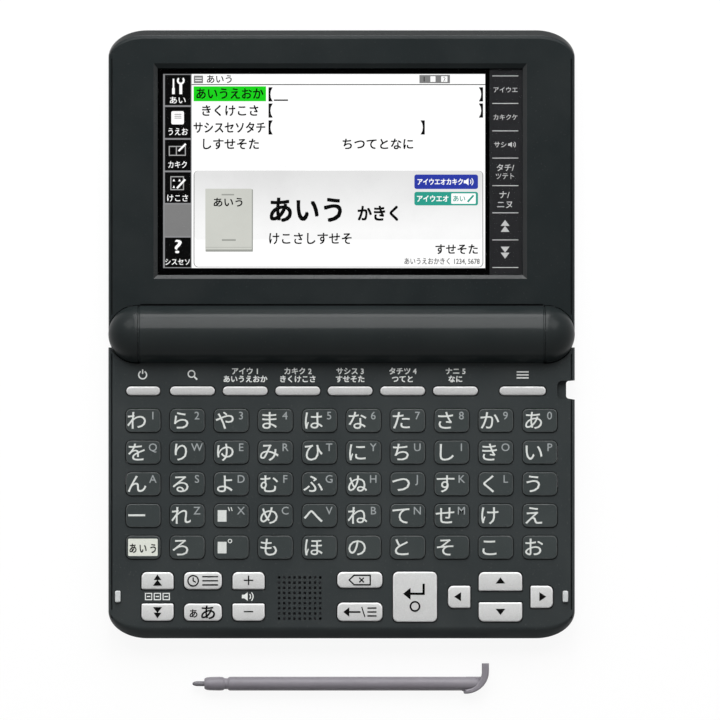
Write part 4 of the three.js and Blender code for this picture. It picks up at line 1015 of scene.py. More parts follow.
def build_cap(side):
    """Half ball over a hinge bracket, hollow where the bracket's eye turns"""
    shape = new_shape()
    bmesh.ops.create_uvsphere(shape, u_segments=96, v_segments=64, radius=BARREL_RADIUS)
    bmesh.ops.rotate(shape, verts=shape.verts, cent=(0, 0, 0), matrix=Matrix.Rotation(math.pi / 2, 3, "Y"))
    geometry = shape.verts[:] + shape.edges[:] + shape.faces[:]
    halves = bmesh.ops.bisect_plane(
        shape, geom=geometry, plane_co=(0, 0, 0), plane_no=(-1, 0, 0), clear_outer=True, dist=1e-4
    )
    rim = [item for item in halves["geom_cut"] if isinstance(item, bmesh.types.BMEdge)]
    bmesh.ops.holes_fill(shape, edges=rim, sides=0)
    bmesh.ops.recalc_face_normals(shape, faces=shape.faces)
    flat_part = round_bar(CAP_FLAT - CAP_FACE, 0.3, BARREL_RADIUS, 0, 0)
    rim = [edge for edge in flat_part.edges if all(vert.co.x < -0.1 for vert in edge.verts)]
    round_edges(flat_part, rim, 0.12, 3)
    pocket = round_bar(-1, 3.4, 5.6, 0, 0, 48)
    arm_slot = block((0.7, 0, -5.6), (3.3, 9, 0.1))
    shape = cut(joined(shape, flat_part), pocket, arm_slot)
    if side < 0:
        bmesh.ops.scale(shape, verts=shape.verts, vec=(-1, 1, 1))
        bmesh.ops.reverse_faces(shape, faces=shape.faces)
    return shifted(shape, side * CAP_FACE, 0, AXIS_Z)


def build_barrel():
    """Tube with a wall and flange towards the keyboard, open below over the cells"""
    front = 0.1 - BARREL_CUT
    tube = round_bar(-BARREL_HALF, BARREL_HALF, BARREL_RADIUS, sides=160)
    round_edges(tube, [edge for edge in tube.edges if not runs_along(edge, 0)], 0.25, 3)
    wall = block((-BARREL_HALF, front, 2.1), (BARREL_HALF, front + 1.3, AXIS_Z))
    flange = block((-BARREL_HALF, front - 3.8, 2.1), (BARREL_HALF, front + 1.3, 3.2))
    ends = []
    collars = []
    for side in (-1, 1):
        x0, x1 = span(side, COVER_HALF, BARREL_HALF)
        ends.append(block((x0, front, BASE_BOTTOM), (x1, 0, AXIS_Z)))
        collars.append(round_bar(*span(side, 60, 64.45), 8.75))
    shape = joined(tube, wall, flange, *ends, *collars)
    return cut(
        shape,
        round_bar(-BAY_HALF, BAY_HALF, 7.6),
        block((-BAY_HALF, -7.6, -1), (BAY_HALF, 7.6, AXIS_Z)),
        block((-COVER_HALF, front - 1, -1), (COVER_HALF, 0, 2.1)),
        block((-COVER_HALF, -0.1, -1), (COVER_HALF, 10, AXIS_Z - BARREL_RADIUS * math.sin(COVER_TURN))),
        *[round_bar(*span(side, 56.3, 66), 2.75, sides=48) for side in (1, -1)],
        *[round_post(side * REAR_FOOT[0], REAR_FOOT[1], 3.3, -1, 1.2) for side in (-1, 1)],
    )


def build_battery_cover():
    """Flat in front, round behind, with finger ridges"""
    half = COVER_HALF - 0.15
    inside = 7.8
    start = -math.pi / 2 - math.acos((AXIS_Z - BASE_BOTTOM) / BARREL_RADIUS)
    end = -math.asin((BARREL_RADIUS * math.sin(COVER_TURN) + 0.15) / BARREL_RADIUS)
    shape = new_shape()
    outer, inner = (
        shape.verts.new((-half, radius * math.cos(start), AXIS_Z + radius * math.sin(start)))
        for radius in (BARREL_RADIUS, inside)
    )
    radial = shape.edges.new((outer, inner))
    bmesh.ops.spin(
        shape, geom=[outer, inner, radial], cent=(0, 0, AXIS_Z), axis=(1, 0, 0), angle=end - start, steps=40
    )
    flat_end, flat_in = (shape.verts.new((-half, -9.0, BASE_BOTTOM + up)) for up in (0, 1.2))
    shape.faces.new((outer, flat_end, flat_in, inner))
    thickened(shape, (2 * half, 0, 0))
    ribs = [shifted(block((-9, -6.5, 0), (-8.4, -3.5, BASE_BOTTOM + 0.3)), 1.5 * step) for step in range(13)]
    shape = cut(shape, *ribs)
    soften(shape, edges_at_height(shape, BASE_BOTTOM), 0.1)
    return shape


def build_cell(start):
    """A round cell with its nub, crimped ends and rolled shoulders"""
    nub = [(0, 0), (0, 2.5), (0.25, 2.75), (1.3, 2.75)]
    crimp = [(1.3, 5.6), (1.0, 5.9), (1.0, 6.4), (1.3, 6.9)]
    sleeve = [(2.0, 7.15), (49.8, 7.15), (50.3, 6.9), (50.5, 6.4), (50.2, 5.8), (50.2, 0)]
    return shifted(turned(nub + crimp + sleeve), start, 0, AXIS_Z)


for side, name in ((-1, "left"), (1, "right")):
    settle(build_cap(side), f"cap_{name}", CAP_CASE, "lid", [f"hinge_cap_{name}"])
settle(build_barrel(), "barrel", BARREL, "base", ["battery_barrel"])
settle(build_battery_cover(), "battery_door", BARREL, "battery_cover", ["battery_cover"])
for number, start in ((1, -52.45), (2, -1.85)):
    settle(build_cell(start), f"cell_{number}", SLEEVE, "base", [f"battery_cell_{number}"])


# Keys

def key_cap(size, low, high, corners, rounding, steps=5):
    shape = rounded_block(size, low, high, corners, 8)
    soften(shape, edges_at_height(shape, high), rounding, steps)
    return shape


def arched(shape, depth):
    """Lowers the top of a silver key along a shallow arch; the narrow ones lean to the front"""
    narrow = depth < 4
    crest = 0.9 if narrow else 0.0
    bend = 0.085 if narrow else min(0.032 * depth, 0.24) / (depth / 2) ** 2
    for vert in shape.verts:
        if vert.co.z > KEY_TOP - 0.8:
            vert.co.z -= bend * (vert.co.y - crest) ** 2
    return shape


def build_silver_key(x, y, width, depth, corners, rounding):
    """An arched cap on a flange that fills the gap round it"""
    size = (width - 2 * SILVER_TRIM, depth - 2 * SILVER_TRIM)
    radii = tuple(min(corner, size[1] / 2 - 0.02) for corner in corners)
    cap = key_cap(size, 8.3, KEY_TOP, radii, min(rounding, size[1] / 2 - 0.06))
    for step in range(1, 8):
        geometry = cap.verts[:] + cap.edges[:] + cap.faces[:]
        level = (0, size[1] * (step / 8 - 0.5), 0)
        bmesh.ops.bisect_plane(cap, geom=geometry, plane_co=level, plane_no=(0, 1, 0), dist=1e-4)
    flange = block((-width / 2 - 0.5, -depth / 2 - 0.5, 8.2), (width / 2 + 0.5, depth / 2 + 0.5, 8.6))
    return shifted(gathered([arched(cap, depth), flange]), x, y)


def build_letter_keys():
    mat = cut(block((-67.9, -91.4, 7.1), (67.9, -24.2, 7.4)), block((-23, -95, 6), (-3.6, -74, 8)))
    caps = [mat]
    for y in LETTER_ROWS:
        for x in LETTER_COLUMNS:
            caps.append(shifted(key_cap(LETTER_SIZE, 7.35, LETTER_TOP, (LETTER_CORNER,) * 4, 0.3, 3), x, y))
    return gathered(caps)


for name, values in SILVER_KEYS.items():
    cap_name = name.replace("_key", "_cap")
    piece = settle(build_silver_key(*values), cap_name, SILVER, name, [name], 40)
    piece.data.materials.append(KEY_SKIRT)
    for face, _, _, z in places_of(piece):
        if z < KEY_TOP - 0.9:
            face.material_index = 1
settle(build_letter_keys(), "letter_keys", LETTER_RUBBER, "base", ["letter_keypad"], 40)


# Bumpers and feet

for side, name in ((-1, "left"), (1, "right")):
    bumper = shifted(key_cap((1.75, 3.6), 9.4, 10.6, (0.4,) * 4, 0.3, 4), side * BUMPER_X, MIDDLE_Y)
    settle(bumper, f"bumper_{name}", BUMPER_RUBBER, "base", [f"lid_bumper_{name}"], 40)
    for row, (x, y) in (("front", FRONT_FOOT), ("rear", REAR_FOOT)):
        foot = round_post(side * x, y, 3.2, 0, 1.1, 48)
        soften(foot, edges_at_height(foot, 0), 0.35, 4)
        settle(foot, f"foot_pad_{row}_{name}", FOOT_RUBBER, "base", [f"foot_{row}_{name}"], 40)


# Pen, made along x from its tip

HOOK_START = 86.7
PEN_RADIUS = 2.2
PEN_TIP = (-47.4, -111, PEN_RADIUS)


def build_pen_barrel():
    nose = [(3.8, 0), (3.8, 1.55), (4.0, 1.75), (4.6, 2.0), (5.6, 2.12), (8.6, PEN_RADIUS), (9.6, 2.12)]
    groove = [(10.0, 1.95), (10.2, 1.75), (11.2, 1.75), (11.4, 1.95), (11.6, 2.12), (12.0, PEN_RADIUS)]
    end = [(88.6, PEN_RADIUS), (89.6, 2.1), (90.3, 1.9), (90.9, 1.6), (91.4, 1.1), (91.7, 0)]
    return turned(nose + groove + end)


def build_nib():
    point = [(0, 0), (0.04, 0.22), (0.16, 0.4), (0.4, 0.55), (0.9, 0.72), (1.4, 0.8)]
    return turned(point + [(5.0, 0.82), (5.0, 0)], 32)


def hook_sweep(reach, fall, steps=16):
    """Points along a quarter ellipse, from under the barrel round to the hook's arm"""
    turns = [math.pi / 2 * step / steps for step in range(steps + 1)]
    return [(HOOK_START + reach * math.sin(turn), 3.9 - fall * math.cos(turn)) for turn in turns]


def build_hook():
    """The pen's hooked end: a band that sweeps round under the barrel, with a thinner web inside it"""
    outer = hook_sweep(7.5, 7.1) + [(94.2, 6.46), (91.95, 6.46)]
    band = outer + hook_sweep(5.25, 5.7)[::-1]
    web = outer + [(91.95, 2.6), (91.6, 2.2), (87.0, 2.2), (85.2, 1.4), (85.2, -2.0), (86.1, -2.5), (86.2, -3.1)]
    low = -2.1
    plates = []
    for points, high, width in ((web, 1.0, 0.3), (band, 2.1, 0.55)):
        plate = new_shape()
        flat_face(plate, points, low)
        thickened(plate, (0, 0, high - low))
        soften(plate, edges_at_height(plate, low) + edges_at_height(plate, high), width, 4)
        plates.append(plate)
    return gathered(plates)


for build, name, finish, node, slot in (
    (build_pen_barrel, "pen_barrel", PEN, "stylus_barrel", "pen_grey"),
    (build_nib, "pen_tip", NIB, "stylus_nib", "pen_nib"),
    (build_hook, "pen_hook", PEN, "stylus_hook", "pen_grey"),
):
    settle(shifted(build(), *PEN_TIP), name, finish, "stylus", [node], 35)


# Flat printed and displayed marks: each is a kind, which names a method of Print, and that method's values

# How high the middle of kana, and of digits and capitals, lies as a share of the type's size
KANA_MIDDLE = 0.372
LATIN_MIDDLE = 0.343


class Print:
    """Collects the flat marks of one ink at one height"""

    def __init__(self, height, marks):
        self.height = height
        self.shape = new_shape()
        self.place = Matrix()
        self.draw(marks)

    def draw(self, marks):
        for kind, *values in marks:
            getattr(self, kind)(*values)

    def sign(self, x, y, scale, marks):
        """A group of marks about their own middle, set down at a place and to a scale"""
        kept = self.place
        self.place = kept @ Matrix.Translation((x, y, 0)) @ Matrix.Diagonal((scale, scale, 1, 1))
        self.draw(marks)
        self.place = kept

    def take(self, shape):
        mesh = mesh_of(shape, "mark")
        mesh.transform(self.place)
        self.shape.from_mesh(mesh)
        bpy.data.meshes.remove(mesh)

    def outline(self, points):
        shape = bmesh.new()
        flat_face(shape, points, self.height)
        self.take(shape)

    def sheet(self, x0, x1, y0, y1, corner):
        shape = bmesh.new()
        face = flat_face(shape, [(x0, y0), (x1, y0), (x1, y1), (x0, y1)], self.height)
        if corner:
            curve = {"segments": 5, "profile": 0.5, "affect": "VERTICES", "material": -1}
            bmesh.ops.bevel(shape, geom=list(face.verts), offset=corner, **curve)
        return shape

    def plate(self, x0, x1, y0, y1, corner=0.0):
        """A rectangle, its corners rounded if asked"""
        self.take(self.sheet(x0, x1, y0, y1, corner))

    def frame(self, x0, x1, y0, y1, width):
        """The outline of a rectangle"""
        shape = self.sheet(x0, x1, y0, y1, 0.0)
        inner = shape.faces[:]
        bmesh.ops.inset_region(shape, faces=inner, thickness=width, use_boundary=True, use_even_offset=True)
        bmesh.ops.delete(shape, geom=inner, context="FACES_ONLY")
        self.take(shape)

    def disc(self, x, y, radius, sides):
        shape = bmesh.new()
        place = Matrix.Translation((x, y, self.height))
        bmesh.ops.create_circle(shape, cap_ends=True, segments=sides, radius=radius, matrix=place)
        self.take(shape)

    def ring(self, x, y, radius, width, start=0.0, end=360.0, steps=32):
        """A circle's line, or a part of one, between two angles in degrees"""
        shape = bmesh.new()
        angle = math.radians(start)
        along = Vector((math.cos(angle), math.sin(angle), 0))
        centre = Vector((x, y, self.height))
        ends = [shape.verts.new(centre + along * reach) for reach in (radius - width / 2, radius + width / 2)]
        bmesh.ops.spin(
            shape,
            geom=[*ends, shape.edges.new(ends)],
            cent=centre,
            axis=(0, 0, 1),
            angle=math.radians(end - start),
            steps=steps,
            use_merge=end - start >= 360,
        )
        self.take(shape)

    def stroke(self, x0, y0, x1, y1, width):
        """A straight line of some width"""
        along = Vector((x1 - x0, y1 - y0)).normalized() * width / 2
        sx, sy = -along.y, along.x
        self.outline([(x0 - sx, y0 - sy), (x1 - sx, y1 - sy), (x1 + sx, y1 + sy), (x0 + sx, y0 + sy)])

    def wedge(self, x, y, width, depth, direction):
        """A triangle that points up, down, left or right"""
        dx, dy = {"up": (0, 1), "down": (0, -1), "left": (-1, 0), "right": (1, 0)}[direction]
        base_x = x - dx * depth / 2
        base_y = y - dy * depth / 2
        self.outline(
            [
                (x + dx * depth / 2, y + dy * depth / 2),
                (base_x - dy * width / 2, base_y + dx * width / 2),
                (base_x + dy * width / 2, base_y - dx * width / 2),
            ]
        )

    def words(self, text, x, y, size, stretch=1.0, bold=0.0, weight=0.0, middle=KANA_MIDDLE):
        """Type, its middle at a height y; bold type is set four times, shifted and each a little higher"""
        curve = bpy.data.curves.new("type", "FONT")
        curve.body = text
        curve.size = 1.0
        curve.resolution_u = 3
        curve.offset = weight
        curve.align_x = "CENTER"
        line = in_scene("type", curve)
        graph = bpy.context.evaluated_depsgraph_get()
        mesh = bpy.data.meshes.new_from_object(line.evaluated_get(graph))
        place = self.place @ Matrix.Translation((x, y - middle * size, self.height))
        mesh.transform(place @ Matrix.Diagonal((size * stretch, size, 1, 1)))
        steps = [(-1, -1, 0), (2, 0, 1), (0, 2, 1), (-2, 0, 1)] if bold else [(0, 0, 0)]
        for dx, dy, up in steps:
            mesh.transform(Matrix.Translation((dx * bold, dy * bold, up * 0.002)))
            self.shape.from_mesh(mesh)
        bpy.data.objects.remove(line)
        bpy.data.curves.remove(curve)
        bpy.data.meshes.remove(mesh)


def print_marks(name, finish, body, height, marks):
    """Settles the marks of one ink as one piece, facing up"""
    shape = Print(height, marks).shape
    for face in shape.faces:
        face.normal_update()
        if face.normal.z < 0:
            face.normal_flip()
    settle(shape, name, finish, body, (), 30, False)


LOUDSPEAKER = [
    ("plate", -1.5, -0.8, -0.5, 0.5),
    ("outline", [(-0.8, -0.5), (0.1, -1.2), (0.1, 1.2), (-0.8, 0.5)]),
    ("ring", 0, 0, 0.9, 0.28, -45, 45, 8),
    ("ring", 0, 0, 1.6, 0.28, -45, 45, 8),
]


def print_legends():
    """Kana on every letter key, and the digit or Latin letter that it also types"""
    rows = [
        ("わらやまはなたさかあ", "1234567890"),
        ("をりゆみひにちしきい", "QWERTYUIOP"),
        ("んるよむふぬつすくう", "ASDFGHJKL "),
        ("ーれ めへねてせけえ", " ZXCVBNM  "),
        (" ろ もほのとそこお", "          "),
    ]
    kana = []
    latin = []
    for (signs, letters), y in zip(rows, LETTER_ROWS):
        for sign, letter, x in zip(signs, letters, LETTER_COLUMNS):
            if sign != " ":
                kana.append(("words", sign, x - 2.05, y + 0.05, 6.3, 1.06, 0.0, 0.004))
            if letter != " ":
                latin.append(("words", letter, x + 3.05, y + 1.6, 3.5, 1.0, 0.0, 0.006, LATIN_MIDDLE))
    square = ("plate", -4.35, -1.55, -1.9, 1.75)
    ticks = [("stroke", x, 2.7, x + 0.4, 1.5, 0.3) for x in (-1.0, -0.15)]
    kana.append(("sign", LETTER_COLUMNS[2], LETTER_ROWS[3], 1, [square, *ticks]))
    kana.append(("sign", LETTER_COLUMNS[2], LETTER_ROWS[4], 1, [square, ("ring", -0.45, 2.0, 0.55, 0.28)]))
    corner_key = ("sign", LETTER_COLUMNS[0], LETTER_ROWS[4], 1)
    patch = (*corner_key, [("plate", -4.8, 4.6, -2.75, 2.75, 0.4)])
    small_kana = (*corner_key, [("words", "ぁぃぅ", -0.1, -0.05, 4.0, 0.8, 0.05)])
    for name, ink, above, marks in (
        ("kana_legends", KANA_INK, 0.015, kana),
        ("latin_legends", LATIN_INK, 0.015, latin),
        ("small_kana_patch", PATCH_INK, 0.01, [patch]),
        ("small_kana_legend", BLACK_INK, 0.025, [small_kana]),
    ):
        print_marks(name, ink, "base", LETTER_TOP + above, marks)


def print_deck_labels():
    """Small signs printed on the deck over and between the silver keys"""
    power = [("ring", -0.2, 0, 1.25, 0.42, 120, 420), ("stroke", -0.2, 0.3, -0.2, 1.75, 0.42)]
    magnifier = [("ring", -0.3, 0.3, 1.05, 0.4), ("stroke", 0.5, -0.5, 1.5, -1.5, 0.5)]
    bars = [("stroke", -1.9, y, 1.9, y, 0.42) for y in (-0.95, 0, 0.95)]
    signs = {"power_key": power, "search_key": magnifier, "menu_key": bars}
    upper = ["アイウ 1", "カキク 2", "サシス 3", "タチツ 4", "ナニ 5"]
    lower = ["あいうえおか", "きくけこさ", "すせそた", "つてと", "なに"]
    for number, lines in enumerate(zip(upper, lower), 1):
        text = [("words", line, 0, y, 2.35, 1.0, 0.06) for line, y in zip(lines, (1.2, -1.3))]
        signs[f"shortcut_key_{number}"] = text
    marks = [("sign", SILVER_KEYS[name][0], -12.9, 1, marks) for name, marks in signs.items()]
    pages = []
    for left in (-4.0, -1.2, 1.6):
        pages.append(("frame", left, left + 2.3, -1.15, 1.15, 0.3))
        pages.append(("stroke", left + 0.6, 0, left + 1.7, 0, 0.35))
    marks.append(("sign", SILVER_KEYS["page_up_key"][0], MIDDLE_Y, 1, pages))
    marks.append(("sign", SILVER_KEYS["volume_up_key"][0] - 0.4, MIDDLE_Y, 1.15, LOUDSPEAKER))
    print_marks("deck_labels", LABEL_INK, "base", BASE_TOP + 0.015, marks)


TAG = [(-3.4, 0), (-1.8, 1.5), (3.3, 1.5), (3.3, -1.5), (-1.8, -1.5)]

# Black signs on the silver keys, each riding on its own key
KEY_SIGNS = {
    "page_up_key": [("wedge", 0, 1.1, 2.5, 1.8, "up"), ("wedge", 0, -0.6, 2.9, 1.9, "up")],
    "page_down_key": [("wedge", 0, 0.7, 2.9, 1.9, "down"), ("wedge", 0, -1.0, 2.5, 1.8, "down")],
    "volume_up_key": [("stroke", -1.5, 0.15, 1.5, 0.15, 0.42), ("stroke", 0, -1.35, 0, 1.65, 0.42)],
    "volume_down_key": [("stroke", -1.5, 0.2, 1.5, 0.2, 0.42)],
    "history_key": [
        ("ring", -3.1, 0, 1.65, 0.45),
        ("stroke", -3.1, -0.1, -3.1, 1.1, 0.4),
        ("stroke", -3.2, 0, -2.2, -0.5, 0.4),
        *[("stroke", -0.2, y, 4.8, y, 0.45) for y in (-1.3, 0.0, 1.3)],
    ],
    "text_size_key": [("words", "あ", -3.0, -0.35, 3.0, 1.0, 0.06), ("words", "あ", 1.6, 0, 4.9, 1.1, 0.08)],
    "delete_key": [
        *[("stroke", *first, *second, 0.45) for first, second in zip(TAG, TAG[1:] + TAG[:1])],
        *[("disc", x, y, 0.225, 10) for x, y in TAG],
        ("stroke", -0.2, -0.75, 1.3, 0.75, 0.42),
        ("stroke", -0.2, 0.75, 1.3, -0.75, 0.42),
    ],
    "back_key": [
        ("wedge", -4.3, 0, 3.0, 1.9, "left"),
        ("stroke", -3.5, 0, 0.2, 0, 0.55),
        ("stroke", 1.6, -1.6, 0.6, 1.6, 0.36),
        *[("stroke", 2.4, y, 5.3, y, 0.45) for y in (-1.25, 0.0, 1.25)],
    ],
    "enter_key": [
        ("stroke", -1.6, 1.0, 3.1, 1.0, 0.75),
        ("stroke", 2.75, 0.7, 2.75, 4.2, 0.75),
        ("wedge", -2.6, 1.0, 3.8, 2.4, "left"),
        ("ring", 0, -3.0, 1.45, 0.55),
    ],
    "cursor_left_key": [("wedge", -0.5, 0.1, 2.9, 2.2, "left")],
    "cursor_right_key": [("wedge", 0.35, 0.1, 2.9, 2.2, "right")],
    "cursor_up_key": [("wedge", 0, 0.35, 3.1, 1.95, "up")],
    "cursor_down_key": [("wedge", 0, 0.05, 3.1, 1.95, "down")],
}

print_legends()
print_deck_labels()
for name, marks in KEY_SIGNS.items():
    x, y, *_ = SILVER_KEYS[name]
    sign = ("sign", x, y, 1, marks)
    print_marks(name.replace("_key", "_sign"), BLACK_INK, name, KEY_TOP + 0.01, [sign])


# Screen

film = block((-60.05, 17.0, 6.05), (59.65, 86.5, 6.7))
soften(film, edges_at_height(film, 6.7), 0.1)
module = block((-58.4, 18.75, 4.0), (47.6, 84.75, 5.88))
settle(module, "display_module", STRIP_INK, "lid", ["display_panel"])
settle(film, "touch_film", FILM, "lid", ["touch_glass"])

ICON_X = -52.05
ICON_EDGES = [82.6, 72.42, 62.01, 51.7, 41.4, 30.95, 21.0]
ICON_MIDDLES = [(top + bottom) / 2 for top, bottom in zip(ICON_EDGES, ICON_EDGES[1:])]
EMPTY_ICON = 4
STRIP_LINES = [82.0, 73.27, 64.55, 55.92, 47.17, 38.54, 29.94, 21.19]


def bracket(x, y, side):
    """A thick lens-shaped bracket, open towards the text that it would hold"""
    half = 2.25
    waist = [(side * 0.75, -half / 2), (side * 0.6, 0), (side * 0.75, half / 2)]
    points = [(0, -half), (side * 1.35, -half), *waist, (side * 1.35, half), (0, half)]
    return ("sign", x, y, 1, [("outline", points[::side])])


def icon(number, *marks):
    """Marks about the middle of one cell of the icon column"""
    return ("sign", ICON_X, ICON_MIDDLES[number], 1, marks)


def screen_layers():
    """The screen's flat pieces, from the lowest up: name, finish, height, marks"""
    book_ground = [("plate", -46.75, 44.75, 21.4, 51.88, 1.3)]
    book_lines = [
        ("stroke", -43.2, 27.6, -28.6, 27.6, 0.12),
        ("stroke", -38.0, 29.9, -33.6, 29.9, 0.55),
        ("stroke", -38.1, 44.3, -34.1, 44.3, 0.45),
    ]
    page_lines = [("stroke", -1.0, y, 1.2, y, 0.25) for y in (1.4, 2.0, 2.6)]
    cells = [
        ("plate", -56.1, -47.85, bottom + 0.26, top - 0.26)
        for number, (top, bottom) in enumerate(zip(ICON_EDGES, ICON_EDGES[1:]))
        if number != EMPTY_ICON
    ]
    side_strip = [
        *[("stroke", 47.85, y, 56.1, y, 0.26) for y in STRIP_LINES],
        ("words", "アイウエ", 52.0, 77.6, 2.0, 1.0, 0.0, 0.005),
        ("words", "カキクケ", 52.0, 68.9, 2.0, 1.0, 0.0, 0.005),
        ("words", "サシ", 50.4, 60.2, 2.1, 1.0, 0.0, 0.01),
        ("sign", 54.0, 60.2, 0.75, LOUDSPEAKER),
        ("words", "タチ/", 51.9, 52.9, 2.5, 1.0, 0.0, 0.008),
        ("words", "ツテト", 51.9, 50.2, 2.2, 0.95, 0.0, 0.005),
        ("words", "ナ/", 51.6, 44.3, 2.7, 1.0, 0.0, 0.008),
        ("words", "ニヌ", 51.9, 41.2, 2.7, 1.0, 0.0, 0.008),
        *[("wedge", 51.9, y, 2.8, 1.9, "up") for y in (35.35, 33.45)],
        *[("wedge", 51.9, y, 2.8, 1.9, "down") for y in (26.85, 24.95)],
    ]
    thin_lines = [
        ("stroke", -47.6, 79.25, 45.66, 79.25, 0.3),
        ("plate", -46.95, 44.95, 21.28, 51.9, 1.4),
        ("words", "123", -35.9, 38.4, 1.7, 1.1, 0.0, 0.02, LATIN_MIDDLE),
    ]
    text = [
        ("words", "あいう", -38.7, 81.0, 2.9, 1.0, 0.04),
        ("words", "1", 26.2, 81.0, 2.2, 1.0, 0.0, 0.01, LATIN_MIDDLE),
        ("words", "2", 32.6, 81.0, 2.0, 1.0, 0.0, 0.01, LATIN_MIDDLE),
        ("words", "あいうえおか", -35.6, 76.4, 3.85, 0.94, 0.06),
        ("words", "きくけこさ", -35.4, 71.0, 3.85, 0.98, 0.07),
        ("words", "サシスセソタチ", -35.6, 65.6, 3.85, 0.86, 0.07),
        ("words", "しすせそた", -35.4, 60.4, 3.85, 0.98, 0.07),
        ("words", "ちつてとなに", 11.5, 60.4, 3.85, 1.0, 0.07),
        *[bracket(-23.2, y, 1) for y in (76.15, 71.0, 65.65)],
        *[bracket(x, y, -1) for x, y in ((44.9, 76.15), (44.9, 71.0), (26.4, 65.65))],
        ("stroke", -21.5, 74.3, -17.0, 74.3, 0.45),
        ("words", "あいう", -35.9, 41.9, 3.2, 1.05, 0.06),
        ("words", "あいう", -11.0, 39.5, 8.7, 0.96, 0.22),
        ("words", "かきく", 12.0, 38.4, 5.3, 0.9, 0.15),
        ("words", "けこさしすせそ", -9.9, 30.4, 4.1, 0.94, 0.06),
        ("words", "すせそた", 36.5, 27.0, 3.5, 1.0, 0.07),
    ]
    bright = [
        icon(
            0,
            ("plate", -1.75, -0.9, -1.3, 0.7),
            ("stroke", -1.32, 0.7, -1.32, 3.6, 0.5),
            ("stroke", 1.0, -1.3, 1.0, 2.2, 0.9),
            ("ring", 1.0, 3.0, 0.95, 0.6, 130, 410, 14),
            ("words", "あい", 0, -3.2, 2.5, 1.1, 0.02),
        ),
        icon(1, ("plate", -2.0, 2.0, -0.6, 3.6, 0.5), ("words", "うえお", 0, -2.9, 2.6, 0.85, 0.02)),
        icon(2, ("stroke", 0.3, 1.3, 2.6, 3.6, 0.6), ("words", "カキク", 0, -3.0, 2.5, 0.85, 0.02)),
        icon(
            3,
            *[("wedge", x, y, 0.8, 0.8, "up") for x, y in ((-1.2, 2.4), (-1.2, 0.3), (0.6, 2.4))],
            ("stroke", -0.2, -0.2, 2.4, 2.6, 0.6),
            ("words", "けこさ", 0, -3.3, 2.5, 0.95, 0.02),
        ),
        icon(
            5,
            ("words", "?", 0, 1.9, 6.0, 1.7, 0.05, 0.0, LATIN_MIDDLE),
            ("words", "シスセソ", 0, -3.0, 2.3, 0.9, 0.02),
        ),
        ("stroke", -46.5, 81.3, -44.4, 81.3, 0.25),
        ("stroke", -46.5, 80.5, -44.4, 80.5, 0.25),
        ("plate", 28.2, 29.8, 80.1, 81.9),
        ("plate", 31.6, 33.6, 80.1, 81.9),
        ("words", "アイウエオカキク", 31.3, 48.4, 2.2, 0.84, 0.05),
        ("sign", 40.2, 48.4, 0.95, LOUDSPEAKER),
        ("words", "アイウエオ", 28.9, 43.05, 2.3, 0.9, 0.05),
        ("plate", 34.8, 42.6, 41.4, 44.7, 0.3),
    ]
    outlines = [
        icon(2, ("frame", -2.8, 2.6, -0.2, 2.9, 0.3), ("stroke", -0.4, -0.2, -0.4, 2.9, 0.3)),
        icon(3, ("frame", -2.3, 2.0, -0.8, 3.6, 0.3)),
    ]
    grey_parts = [
        ("plate", -56.2, -47.85, 31.2, 41.2),
        ("plate", -46.9, -44.0, 79.7, 82.1),
        ("plate", 24.7, 34.4, 79.7, 82.3),
    ]
    tab_marks = [
        ("words", "あい", 37.3, 43.05, 2.2, 0.95, 0.0, 0.02),
        ("stroke", 40.0, 42.0, 41.9, 44.1, 0.6),
    ]
    small_text = [("words", "あいうえおかきく 1234, 5678", 31.8, 23.2, 2.3, 0.82, 0.03)]
    return [
        ("film_border", BORDER, 5.9, [("plate", -60.0, 59.6, 17.1, 86.4)]),
        ("display_ground", LIT_WHITE, 5.915, [("plate", *DISPLAY)]),
        ("icon_strip", STRIP_INK, 5.92, [("plate", 46.95, 59.6, 17.1, 86.4)]),
        ("display_rules", LIT_RULE, 5.93, [("plate", -56.65, -47.6, 21.0, 82.6)]),
        ("display_lines", LIT_LINE, 5.93, thin_lines),
        ("display_panel_ground", LIT_WHITE, 5.932, book_ground),
        ("display_panel_shade", LIT_PALE, 5.935, [("plate", -46.75, 44.75, 30.0, 51.88, 1.3)]),
        ("display_cells", LIT_BLACK, 5.935, cells),
        ("display_grey_parts", LIT_GREY, 5.938, grey_parts),
        ("icon_strip_marks", STRIP_MARK, 5.94, side_strip),
        ("display_highlight", LIT_GREEN, 5.94, [("plate", -46.98, -23.98, 73.95, 78.7)]),
        ("display_tab_blue", LIT_BLUE, 5.94, [("plate", 23.1, 43.3, 46.1, 50.7, 0.7)]),
        ("display_tab_teal", LIT_TEAL, 5.94, [("plate", 23.1, 43.3, 40.9, 45.2, 0.7)]),
        ("display_book_pages", LIT_BOOK_EDGE, 5.94, [("plate", -43.2, -28.15, 26.2, 46.0, 0.2)]),
        ("display_book_cover", LIT_BOOK, 5.945, [("plate", -43.25, -28.5, 26.9, 46.2, 0.2)]),
        ("display_book_lines", LIT_BOOK_EDGE, 5.95, book_lines),
        ("display_icon_outlines", LIT_OUTLINE, 5.95, outlines),
        ("display_text", LIT_BLACK, 5.955, text),
        ("display_small_text", LIT_LINE, 5.955, small_text),
        ("display_icons", LIT_WHITE, 5.955, bright),
        ("display_tab_marks", LIT_TEAL, 5.96, tab_marks),
        ("display_page_lines", LIT_GREY, 5.96, [icon(1, *page_lines)]),
    ]


for name, finish, height, marks in screen_layers():
    print_marks(name, finish, "lid", height, marks)


# Parts that keep their modelled shape

